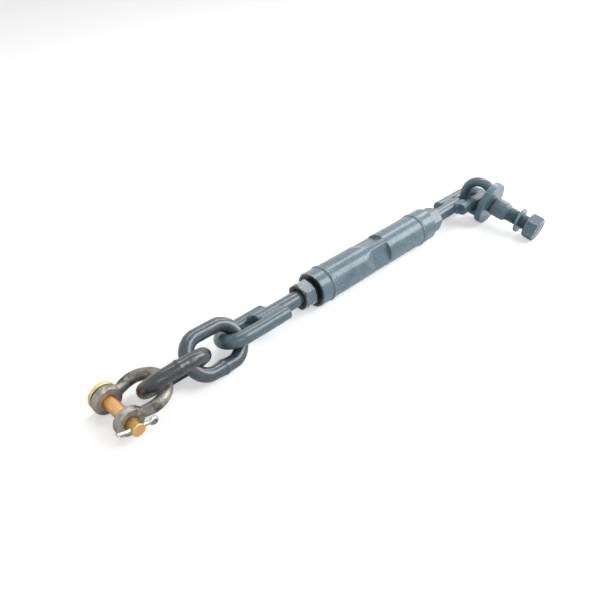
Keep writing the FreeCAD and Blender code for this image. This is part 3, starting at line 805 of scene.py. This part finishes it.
def shackle_body():
    """Bow and both arms as one bar: round on the bow, drawn out to a flat oval
    where the arms run into the eyes."""
    t = np.radians(np.linspace(BOW_ARC, -BOW_ARC, 120))
    centre_x = BOW_REACH - BOW_R
    bow = np.stack([centre_x + BOW_R * np.cos(t), BOW_R * np.sin(t), 0 * t], -1)
    front_root = np.array([NECK_AT, EAR_MIDDLE, 0.0])
    steps = np.linspace(0, 1, 16)[:-1, None]
    front = front_root + (bow[0] - front_root) * steps
    path = np.vstack([front, bow, front[::-1] * [1, -1, 1]])
    length = np.linalg.norm(np.diff(path, axis=0), axis=1).sum()
    arm = np.linalg.norm(bow[0] - front_root)

    def radius(s, angle):
        to_ear = np.clip(np.minimum(s, length - s) / arm, 0, 1.25)
        pinch = 1 - smoothstep(0.0, 1.15, to_ear)
        flat = BOW_BAR_R + (EAR_HALF - 0.5 - BOW_BAR_R) * pinch
        waist = 0.5 * np.sin(math.pi * np.clip(to_ear / 1.2, 0, 1))
        tall = BOW_BAR_R + (NECK_TALL - BOW_BAR_R) * pinch - waist
        oval = flat * tall / np.sqrt((tall * np.cos(angle)) ** 2 + (flat * np.sin(angle)) ** 2)
        return oval + 0.12 * waves(103, s / 8, *circled(angle, 2))

    grid = bar_along(path, (0, 0, 1), radius, columns=48)
    return shell(put(grid, shackle_place()))


def shackle(finish):
    """The eyes and the bar melt into one forging: remeshed, then smoothed."""
    skin = joined([shackle_body(), shackle_ear(1), shackle_ear(-1)])
    thing = piece("shackle_forging", skin, "shackle", ["shackle_bow"], finish,
                  sharp=180)
    melt = thing.modifiers.new("melt", "REMESH")
    melt.mode = "VOXEL"
    melt.voxel_size = 0.62 * MM
    melt.use_smooth_shade = True
    soften = thing.modifiers.new("soften", "SMOOTH")
    soften.factor = 0.5
    soften.iterations = 9


# Eye bolt

def eye_ring():
    """Forged eye: the bar swells into the flange, and its skin is hammered. The
    mask paints shade on the inside of the ring."""
    along = around(200)[:, None]
    section = around(44)[None, :]
    root = smoothstep(0.35, 1.0, np.cos(along)) * 2.6
    rough = waves(113, *circled(along, 6), *circled(section, 2))
    r = EYE_BAR_R + root + 0.16 * (rough - 1)
    ring = EYE_R + r * np.cos(section)
    x = np.minimum(ring * np.cos(along), FLANGE_FROM + 4 + 0.0 * ring)
    grid = np.stack([x, ring * np.sin(along), r * np.sin(section) + 0.0 * ring], -1)
    # Painted shade on the ring's inner side, which faces away from the light.
    inside = 0.75 * smoothstep(0.2, 0.95, -np.cos(section)) * (0.5 + 0.5 * rough)
    return shell(put(grid, bolt_place()), closed_rows=True, mask=-inside)


def bolt_outline():
    mid = [(FLANGE_FROM, 0.02), (FLANGE_FROM, FLANGE_R), (FLANGE_TO, FLANGE_R),
           (FLANGE_TO, UNDERCUT_R), (BOLT_SHANK_FROM, UNDERCUT_R), (BOLT_SHANK_FROM, BOLT_SHANK_R),
           (BOLT_SHANK_TO, BOLT_SHANK_R), (BOLT_SHANK_TO + 3, THREAD_R)]
    return dense(rounded(mid, 1.5, 4), 1.0)


def bolt_turned():
    """Flange, undercut, shank with two flats, and thread, turned about local x.
    The mask is positive on the rims and negative on thread and undercut: a darker thread, and
    painted shade in the undercut."""
    shaft = bolt_outline()[:-1]
    step = THREAD_PITCH / 12
    thread = np.arange(BOLT_SHANK_TO + 3, BOLT_END, step)
    stations = [tuple(p) for p in shaft] + [(v, THREAD_R) for v in thread]
    stations += [(BOLT_END, THREAD_R - 1.5), (BOLT_END, 0.02)]

    def radius(x, r, angle):
        on_shank = (x > BOLT_SHANK_FROM) & (x < BOLT_SHANK_TO + 3) & (r > THREAD_R)
        side = np.maximum(np.abs(np.sin(angle)), 0.3)
        flats = soft_min(r, BOLT_FLATS / side, 0.25)
        on_thread = (x >= BOLT_SHANK_TO + 3) & (r > THREAD_R - 0.1)
        start = smoothstep(BOLT_SHANK_TO + 3.5, BOLT_SHANK_TO + 6.5, x)
        cone = THREAD_R - 1.5 + (BOLT_END - x)
        threaded = np.minimum(THREAD_R - thread_dent(x, angle) * start, cone)
        on_flange = (r > UNDERCUT_R + 1) & (x < FLANGE_TO + 0.1)
        flange = r + 0.12 * (waves(127, *circled(angle, 3), x / 6) - 1)
        out = np.where(on_shank, flats, r)
        out = np.where(on_thread, threaded, out)
        return np.where(on_flange, flange, out)

    grid = lathe(stations, bolt_place(), columns=128, shaped=radius)
    rims = [(FLANGE_FROM, FLANGE_R), (FLANGE_TO, FLANGE_R), (BOLT_SHANK_FROM, BOLT_SHANK_R),
            (BOLT_SHANK_TO, BOLT_SHANK_R)]
    at = np.asarray(stations)
    # Negative mask: the thread a little darker, and painted shade in the undercut groove.
    dark_thread_and_shade = np.where(at[:, :1] > BOLT_SHANK_TO + 3, 0.25, 0.0)
    in_undercut = (at[:, 1:] < UNDERCUT_R + 0.4) * (at[:, :1] < BOLT_SHANK_FROM + 0.4)
    dark_thread_and_shade = np.maximum(dark_thread_and_shade, 0.8 * in_undercut)
    return shell(grid, mask=rim_mask(stations, rims, 1.8) - dark_thread_and_shade)


def eye_bolt(finish):
    skin = joined([bolt_turned(), eye_ring()])
    piece("eye_bolt_forging", skin, "eye_bolt", ["eye_bolt"], finish, sharp=50)
    nut = hex_nut(BOLT_END - END_NUT, END_NUT, END_NUT_TURN, bolt_place())
    piece("end_nut_worn", nut, "end_nut", ["end_nut"], finish)


def spring_washer(finish):
    """Square bar with rounded edges, coiled one turn along local x; the section
    is a superellipse, and its ends are cut square across the split."""
    share = 1 - WASHER_SPLIT / 360
    u = np.linspace(0, 1, 110)[:, None]
    turn = u * TURN * share
    angle = around(28)[None, :]
    power = 0.35
    a = np.sign(np.cos(angle)) * np.abs(np.cos(angle)) ** power * WASHER_WIDTH / 2
    b = np.sign(np.sin(angle)) * np.abs(np.sin(angle)) ** power * WASHER_THICK / 2
    r = WASHER_R + a
    x = WASHER_RISE * (u - 0.5) + b
    local = np.stack([x, r * np.sin(turn), -r * np.cos(turn)], -1)
    tilt = math.radians(WASHER_TILT)
    c, s = math.cos(tilt), math.sin(tilt)
    spin = np.array([[c, s, 0], [-s, c, 0], [0, 0, 1]])
    local = local @ spin + [WASHER_AT, 0, 0]
    grid = put(local, bolt_place()) + [0, 0, -WASHER_HANG]
    off_centre = np.maximum(np.abs(a) / WASHER_WIDTH, np.abs(b) / WASHER_THICK)
    mask = np.clip(off_centre * 2.4 - 1.3, 0, 1)
    piece("spring_washer_worn", shell(grid, mask=mask), "spring_washer", ["spring_washer"], finish)


# Pin and split pin

def shackle_pin(finish):
    """Turned pin along local y with a flat round head behind the rear eye."""
    ear = EAR_MIDDLE + EAR_HALF
    under = -(ear + PIN_HEAD_GAP)
    top = under - PIN_HEAD_THICK
    end = ear + PIN_STICKS_OUT
    outline = [(top, 0.02), (top, PIN_HEAD_R), (under, PIN_HEAD_R), (under, PIN_R), (end, PIN_R),
               (end, 0.02)]
    stations = dense(rounded(outline, 1.3, 4), 1.2)

    def radius(x, r, angle):
        tool = 0.02 * np.sin(x * 9) * (r > PIN_R - 1)
        return r + tool

    grid = lathe(stations, columns=96, shaped=radius)
    turned = np.stack([-grid[..., 1], grid[..., 0], grid[..., 2]], -1)
    mask = rim_mask(stations, [(end, PIN_R), (top, PIN_HEAD_R), (under, PIN_HEAD_R)], 1.6)
    piece("shackle_pin_turned", shell(put(turned, shackle_place()), mask=mask), "shackle_pin",
          ["shackle_pin"], finish)


def split_pin_path(sign, leg):
    """Middle line of one half of the split pin's wire in its own xy plane."""
    neck = np.array([PIN_R + SPLIT_PIN_NECK, sign * SPLIT_PIN_LEG_GAP])
    t = np.radians(np.linspace(0, SPLIT_PIN_NECK_ANGLE, 12))[:, None]
    bend = neck + [0, sign * SPLIT_PIN_NECK_BEND]
    bend = bend + SPLIT_PIN_NECK_BEND * np.hstack([np.sin(t), -sign * np.cos(t)])
    eye_r = abs(bend[-1, 1]) / math.cos(math.radians(SPLIT_PIN_NECK_ANGLE))
    eye_x = bend[-1, 0] + eye_r * math.sin(math.radians(SPLIT_PIN_NECK_ANGLE))
    u = np.radians(np.linspace(90 + SPLIT_PIN_NECK_ANGLE, 0, 26))[:, None]
    eye = np.hstack([eye_x + eye_r * np.cos(u), sign * eye_r * np.sin(u)])
    v = np.radians(np.linspace(SPLIT_PIN_SPREAD, 0, 8))[:, None]
    curl = neck + [SPLIT_PIN_TAIL - leg, sign * SPLIT_PIN_TAIL_BEND]
    curl = curl + SPLIT_PIN_TAIL_BEND * np.hstack([-np.sin(v), -sign * np.cos(v)])
    spread = math.radians(SPLIT_PIN_SPREAD)
    tail = curl[0] + SPLIT_PIN_TAIL * np.array([[-math.cos(spread), sign * math.sin(spread)]])
    path = dense(np.vstack([tail, curl, bend, eye[1:]]), 0.5)
    return np.hstack([path, np.zeros((len(path), 1))])


def half_wire(path, sign):
    """Half-round wire along the path, its flat side towards the other half."""
    ahead = np.vstack([path[1:], 2 * path[-1] - path[-2]])
    tangent = ahead - np.vstack([2 * path[0] - path[1], path[:-1]])
    tangent /= np.linalg.norm(tangent, axis=1)[:, None]
    outward = np.stack([-tangent[:, 1], tangent[:, 0], 0 * tangent[:, 0]], -1) * sign
    u = np.linspace(-math.pi / 2, math.pi / 2, 13)
    r = SPLIT_PIN_R - 0.1
    sections = np.stack([np.maximum(np.cos(u), 0.02) * r, np.sin(u) * r], -1)
    flat = np.linspace(0.9, -0.9, 5)
    sections = np.vstack([sections, np.stack([0 * flat + 0.02, flat * r], -1)])
    return (path[:, None, :] + sections[None, :, :1] * outward[:, None, :]
            + sections[None, :, 1:] * np.array([0.0, 0.0, 1.0]))


def split_pin(finish):
    """Two half wires back to back through the pin's cross hole, the eye turned
    down a little and the tails unequal."""
    skins = []
    for sign, leg in SPLIT_PIN_LEGS:
        grid = half_wire(split_pin_path(sign, leg), sign)
        lying = np.stack([grid[..., 0], -grid[..., 2], grid[..., 1]], -1)
        c, s = math.cos(math.radians(SPLIT_PIN_TURN)), math.sin(math.radians(SPLIT_PIN_TURN))
        x, y, z = np.moveaxis(lying, -1, 0)
        spun = np.stack([x * c - z * s, y, z * c + x * s], -1)
        spun[..., 1] += EAR_MIDDLE + EAR_HALF + SPLIT_PIN_AT
        skins.append(shell(put(spun, shackle_place())))
    piece("split_pin_wire", joined(skins), "shackle_pin", ["cotter_pin"], finish,
          sharp=40)


# Shader wiring

def colour(red, green, blue):
    """Screen colour, 0 to 255, as a linear RGBA."""
    return tuple((v / 255) ** 2.2 for v in (red, green, blue)) + (1.0,)


def feed(tree, made, inputs):
    """Gives each named or numbered input of the node its value or its link."""
    for name, value in inputs.items():
        if isinstance(value, bpy.types.NodeSocket):
            tree.links.new(value, made.inputs[name])
        else:
            made.inputs[name].default_value = value
    return made


def node(tree, kind, inputs=None, **settings):
    made = tree.nodes.new("ShaderNode" + kind)
    for name, value in settings.items():
        setattr(made, name, value)
    return feed(tree, made, inputs or {})


def maths(tree, operation, a, b, clamp):
    return node(tree, "Math", {0: a, 1: b}, operation=operation, use_clamp=clamp).outputs[0]


def times(tree, a, b, clamp=False):
    return maths(tree, "MULTIPLY", a, b, clamp)


def plus(tree, a, b, clamp=False):
    return maths(tree, "ADD", a, b, clamp)


def minus(tree, a, b, clamp=False):
    return maths(tree, "SUBTRACT", a, b, clamp)


def larger(tree, a, b, clamp=False):
    return maths(tree, "MAXIMUM", a, b, clamp)


def remap(tree, value, low, high, to_low=0.0, to_high=1.0):
    inputs = {"Value": value, "From Min": low, "From Max": high, "To Min": to_low,
              "To Max": to_high}
    return node(tree, "MapRange", inputs).outputs[0]


def mix(tree, factor, a, b):
    return node(tree, "Mix", {0: factor, 6: a, 7: b}, data_type="RGBA").outputs[2]


def noise(tree, where, scale, detail=3.0, roughness=0.55):
    inputs = {"Vector": where, "Scale": scale, "Detail": detail, "Roughness": roughness}
    return node(tree, "TexNoise", inputs).outputs[0]


def bump(tree, height, distance):
    return node(tree, "Bump", {"Height": height, "Distance": distance}).outputs["Normal"]


def place_of(tree):
    return node(tree, "TexCoord").outputs["Object"]


def wear_and_shade_of(tree):
    return node(tree, "Attribute", attribute_name="wear_and_shade").outputs["Fac"]


def group(name, inputs, outputs):
    """A node group with named sockets: returns its tree, inputs and output node."""
    tree = bpy.data.node_groups.new(name, "ShaderNodeTree")
    for label, kind in inputs:
        tree.interface.new_socket(label, in_out="INPUT", socket_type="NodeSocket" + kind)
    for label, kind in outputs:
        tree.interface.new_socket(label, in_out="OUTPUT", socket_type="NodeSocket" + kind)
    start = tree.nodes.new("NodeGroupInput")
    return tree, start.outputs, tree.nodes.new("NodeGroupOutput")


def use_group(tree, content, inputs):
    made = tree.nodes.new("ShaderNodeGroup")
    made.node_tree = content
    return feed(tree, made, inputs).outputs


def new_material(name):
    made = bpy.data.materials.new(name)
    made.use_nodes = True
    tree = made.node_tree
    tree.nodes.clear()
    shader = node(tree, "BsdfPrincipled")
    feed(tree, node(tree, "OutputMaterial"), {0: shader.outputs[0]})
    return made, tree, shader


# Finishes

def paint_film():
    """Sprayed enamel: slow drift of tone, pale dust, grime and orange peel. Values
    above 0 of the mask open chips where a coarse noise agrees, and values below 0
    are painted shade: near-black for gaps, recesses and faces turned from the light,
    which on the threads also stands for dark oil."""
    inputs = [("Place", "Vector"), ("Paint", "Color"), ("Bare", "Color"), ("Wear_and_shade", "Float"),
              ("Chipping", "Float"), ("Grime", "Float"), ("Dust", "Float"), ("Gloss", "Float")]
    outputs = [("Colour", "Color"), ("Roughness", "Float"), ("Height", "Float"), ("Coat", "Float")]
    tree, given, end = group("paint film", inputs, outputs)
    where, paint, chipping = given["Place"], given["Paint"], given["Chipping"]
    coarse = noise(tree, where, 260.0, 5.0, 0.6)
    fine = noise(tree, where, 1500.0, 2.0)
    darker = mix(tree, 1.0, paint, (0.62, 0.64, 0.66, 1.0))
    darker.node.blend_type = "MULTIPLY"
    drift = remap(tree, noise(tree, where, 38.0, 4.0), 0.40, 0.72, 0.0, 0.55)
    tone = mix(tree, drift, paint, darker)
    dust = remap(tree, noise(tree, where, 430.0, 6.0, 0.75), 0.46, 0.66)
    tone = mix(tree, times(tree, dust, given["Dust"]), tone, colour(176, 194, 202))
    grime = remap(tree, noise(tree, where, 95.0, 6.0, 0.65), 0.48, 0.74)
    grime = times(tree, grime, given["Grime"])
    tone = mix(tree, grime, tone, colour(56, 61, 66))
    # Painted shade: a negative mask mixes in near-black where shade falls in gaps and recesses, and
    # stands for dark oil on the threads.
    painted_shade = times(tree, given["Wear_and_shade"], -1.0, clamp=True)
    tone = mix(tree, painted_shade, tone, colour(24, 26, 29))
    edge = times(tree, given["Wear_and_shade"], chipping)
    broken = times(tree, plus(tree, coarse, noise(tree, where, 62.0, 2.0)), 0.5)
    chips = remap(tree, plus(tree, times(tree, edge, 0.42), broken), 0.83, 0.88)
    nicks = remap(tree, noise(tree, where, 620.0, 3.0, 0.7), 0.66, 0.70)
    nicks = times(tree, nicks, plus(tree, edge, times(tree, chipping, 0.5)))
    bare = larger(tree, chips, nicks, clamp=True)
    worn = larger(tree, bare, grime)
    rough = plus(tree, given["Gloss"], times(tree, coarse, 0.16))
    swell = plus(tree, times(tree, fine, 0.35), times(tree, coarse, 0.9))
    dull = larger(tree, worn, painted_shade)
    feed(tree, end, {"Colour": mix(tree, bare, tone, given["Bare"]),
                     "Roughness": plus(tree, rough, times(tree, worn, 0.3), clamp=True),
                     "Height": minus(tree, swell, times(tree, bare, 1.2)),
                     "Coat": minus(tree, 1.0, times(tree, dull, 0.9), clamp=True)})
    return tree


def forged_skin():
    """Scale and handling marks on forged steel: broad stains, fine pits and
    rubbed high places."""
    inputs = [("Place", "Vector"), ("Steel", "Color"), ("Scale", "Color"), ("Rubbed", "Color"),
              ("Staining", "Float")]
    outputs = [("Colour", "Color"), ("Roughness", "Float"), ("Height", "Float"), ("Metal", "Float")]
    tree, given, end = group("forged skin", inputs, outputs)
    broad = noise(tree, given["Place"], 55.0, 5.0, 0.6)
    pits = noise(tree, given["Place"], 520.0, 5.0, 0.7)
    rubs = remap(tree, noise(tree, given["Place"], 120.0, 6.0, 0.7), 0.56, 0.72)
    stain = times(tree, remap(tree, broad, 0.42, 0.66), given["Staining"])
    tone = mix(tree, stain, given["Steel"], given["Scale"])
    tone = mix(tree, times(tree, rubs, 0.6), tone, given["Rubbed"])
    hollow = remap(tree, pits, 0.30, 0.44, 0.55, 0.0)
    rough = remap(tree, pits, 0.3, 0.7, 0.28, 0.48)
    feed(tree, end, {"Colour": mix(tree, hollow, tone, given["Scale"]),
                     "Roughness": minus(tree, rough, times(tree, rubs, 0.12)),
                     "Height": plus(tree, times(tree, pits, 0.8), broad),
                     "Metal": remap(tree, rubs, 0.0, 1.0, 0.6, 0.9)})
    return tree


def enamel(name, film, paint, bare, chipping, grime, gloss, relief=0.00010, dust=0.03):
    """Painted metal: the film's masks drive colour, gloss and clear coat."""
    made, tree, shader = new_material(name)
    inputs = {"Place": place_of(tree), "Paint": colour(*paint), "Bare": bare, "Wear_and_shade": wear_and_shade_of(tree),
              "Chipping": chipping, "Grime": grime, "Dust": dust, "Gloss": gloss}
    found = use_group(tree, film, inputs)
    feed(tree, shader, {"Base Color": found["Colour"], "Roughness": found["Roughness"],
                        "Coat Weight": found["Coat"], "Coat Roughness": 0.2,
                        "Specular IOR Level": 0.5, "Normal": bump(tree, found["Height"], relief)})
    return made


def forged():
    """Worn forged steel, part scale and part bare metal."""
    made, tree, shader = new_material("worn forged steel")
    inputs = {"Place": place_of(tree), "Steel": colour(178, 174, 166), "Scale": colour(46, 42, 38),
              "Rubbed": colour(226, 223, 214), "Staining": 0.85}
    found = use_group(tree, forged_skin(), inputs)
    feed(tree, shader, {"Base Color": found["Colour"], "Roughness": found["Roughness"],
                        "Metallic": found["Metal"], "Normal": bump(tree, found["Height"], 0.0005)})
    return made


def zinc():
    """Yellow passivated zinc: gold drifting to orange, olive and pink in soft
    bands, rubbed pale on the rims."""
    made, tree, shader = new_material("yellow passivated zinc")
    where = place_of(tree)
    band = remap(tree, noise(tree, where, 85.0, 3.0), 0.40, 0.62)
    tint = mix(tree, band, colour(246, 188, 114), colour(232, 176, 124))
    across_pin = node(tree, "SeparateXYZ", {0: where}).outputs["Y"]
    tint = mix(tree, remap(tree, across_pin, 0.058, 0.064), tint, colour(232, 208, 140))
    tip = remap(tree, across_pin, 0.0185, 0.0165)
    tip = times(tree, tip, remap(tree, across_pin, 0.0052, 0.0060))
    tint = mix(tree, tip, tint, colour(190, 160, 88))
    pink = remap(tree, noise(tree, where, 150.0, 2.0), 0.56, 0.72, 0.0, 0.5)
    tint = mix(tree, pink, tint, colour(236, 160, 150))
    rim = remap(tree, wear_and_shade_of(tree), 0.35, 0.9, 0.0, 0.65)
    tint = mix(tree, rim, tint, colour(238, 222, 190))
    fine = noise(tree, where, 900.0, 4.0)
    feed(tree, shader, {"Base Color": tint, "Metallic": 0.82, "Normal": bump(tree, fine, 0.00006),
                        "Roughness": remap(tree, fine, 0.3, 0.7, 0.24, 0.42)})
    return made


def bright_wire():
    made, tree, shader = new_material("bright wire")
    where = place_of(tree)
    fine = noise(tree, where, 1100.0, 4.0)
    cloud = remap(tree, noise(tree, where, 220.0, 3.0), 0.4, 0.65)
    tone = mix(tree, cloud, colour(222, 224, 226), colour(176, 178, 182))
    feed(tree, shader, {"Base Color": tone, "Metallic": 0.9, "Normal": bump(tree, fine, 0.00005),
                        "Roughness": remap(tree, fine, 0.3, 0.7, 0.2, 0.36)})
    return made


# Room

def camera():
    data = bpy.data.cameras.new("camera")
    data.lens = LENS
    data.sensor_width = SENSOR
    thing = bpy.data.objects.new("camera", data)
    bpy.context.scene.collection.objects.link(thing)
    thing.location = Vector(MIDDLE * MM) + Vector(CAMERA_OFFSET)
    thing.rotation_euler = [math.radians(v) for v in CAMERA_TURN]
    bpy.context.scene.camera = thing


def softbox(name, location, target, size, energy):
    """Rectangular lamp aimed at target, its long side level with the turnbuckle."""
    data = bpy.data.lights.new(name, "AREA")
    data.shape = "RECTANGLE"
    data.size, data.size_y = size
    data.energy = energy
    back = (Vector(location) - Vector(target)).normalized()
    long_side = (Vector((1, 0, 0)) - back * back.x).normalized()
    turned = Matrix((long_side, back.cross(long_side), back)).transposed()
    thing = bpy.data.objects.new(name, data)
    thing.matrix_world = Matrix.Translation(location) @ turned.to_4x4()
    bpy.context.scene.collection.objects.link(thing)


def lights():
    softbox("overhead", (0.60, 0.45, 1.10), (0.05, 0, 0), (1.9, 0.30), 8.0)
    softbox("right", (1.10, -0.72, 0.95), (0.05, 0, 0), (2.0, 0.75), 20.0)
    softbox("front", (-0.75, -1.15, 0.85), (0, 0, 0.02), (1.1, 0.5), 3.0)


def world():
    """White to the camera and in reflections, dim as a light."""
    made = bpy.data.worlds.new("studio")
    bpy.context.scene.world = made
    made.use_nodes = True
    tree = made.node_tree
    tree.nodes.clear()
    ray = node(tree, "LightPath").outputs
    seen = larger(tree, ray["Is Camera Ray"], ray["Is Glossy Ray"])
    seen = larger(tree, seen, ray["Is Transmission Ray"])
    level = remap(tree, seen, 0.0, 1.0, ROOM_LIGHT, 1.0)
    back = node(tree, "Background", {"Color": (1.0, 1.0, 1.0, 1.0), "Strength": level})
    feed(tree, node(tree, "OutputWorld"), {0: back.outputs[0]})


def floor():
    """White sheet that keeps the object's shadow and is lifted to white around it."""
    mesh = bpy.data.meshes.new("floor")
    a = FLOOR_HALF
    mesh.from_pydata([(-a, -a, 0), (a, -a, 0), (a, a, 0), (-a, a, 0)], [], [(0, 1, 2, 3)])
    made, tree, shader = new_material("white paper")
    grain = noise(tree, place_of(tree), 3.0, 2.0)
    tone = mix(tree, grain, (0.92, 0.92, 0.92, 1.0), (0.95, 0.95, 0.95, 1.0))
    lift = times(tree, node(tree, "LightPath").outputs["Is Camera Ray"], FLOOR_LIFT)
    feed(tree, shader, {"Base Color": tone, "Roughness": 0.9, "Emission Strength": lift,
                        "Emission Color": (1.0, 1.0, 1.0, 1.0)})
    mesh.materials.append(made)
    thing = bpy.data.objects.new("floor", mesh)
    bpy.context.scene.collection.objects.link(thing)


def dress():
    film = paint_film()
    cream = colour(222, 214, 198)
    steel = colour(176, 184, 190)
    tube = enamel("tube enamel", film, (78, 108, 124), cream, 0.6, 0.35, 0.27, 0.0004, 0.2)
    drops = enamel("spatter enamel", film, (158, 172, 180), cream, 0.6, 0.2, 0.26, 0.00024, 0.3)
    bar = enamel("bar enamel", film, (76, 101, 115), steel, 0.6, 0.35, 0.26, 0.00022, 0.1)
    nuts = enamel("nut enamel", film, (88, 114, 129), cream, 0.9, 0.3, 0.26, 0.0003, 0.16)
    beads = enamel("bead enamel", film, (84, 111, 126), cream, 0.6, 0.2, 0.26, 0.00024, 0.2)
    thread = enamel("oiled thread", film, (78, 98, 110), steel, 0.4, 0.5, 0.24)
    bolt = enamel("bolt enamel", film, (80, 110, 126), steel, 0.9, 0.3, 0.28, 0.0003, 0.12)
    ring = enamel("spring washer enamel", film, (112, 136, 150), steel, 0.8, 0.2, 0.26)
    inner = enamel("inner link enamel", film, (58, 76, 87), steel, 0.5, 0.3, 0.20, 0.00016, 0.04)
    outer = enamel("outer link enamel", film, (36, 41, 45), steel, 0.5, 0.3, 0.20, 0.00012)
    sleeve_tube(tube)
    spatter(drops)
    collars(nuts)
    ring_beads(beads)
    lock_nuts(nuts, bar)
    screws(thread, bar)
    forks(bar, beads)
    links(inner, outer)
    shackle(forged())
    shackle_pin(zinc())
    split_pin(bright_wire())
    eye_bolt(bolt)
    spring_washer(ring)


dress()
camera()
floor()
lights()
world()
bpy.context.scene.view_settings.view_transform = "Standard"
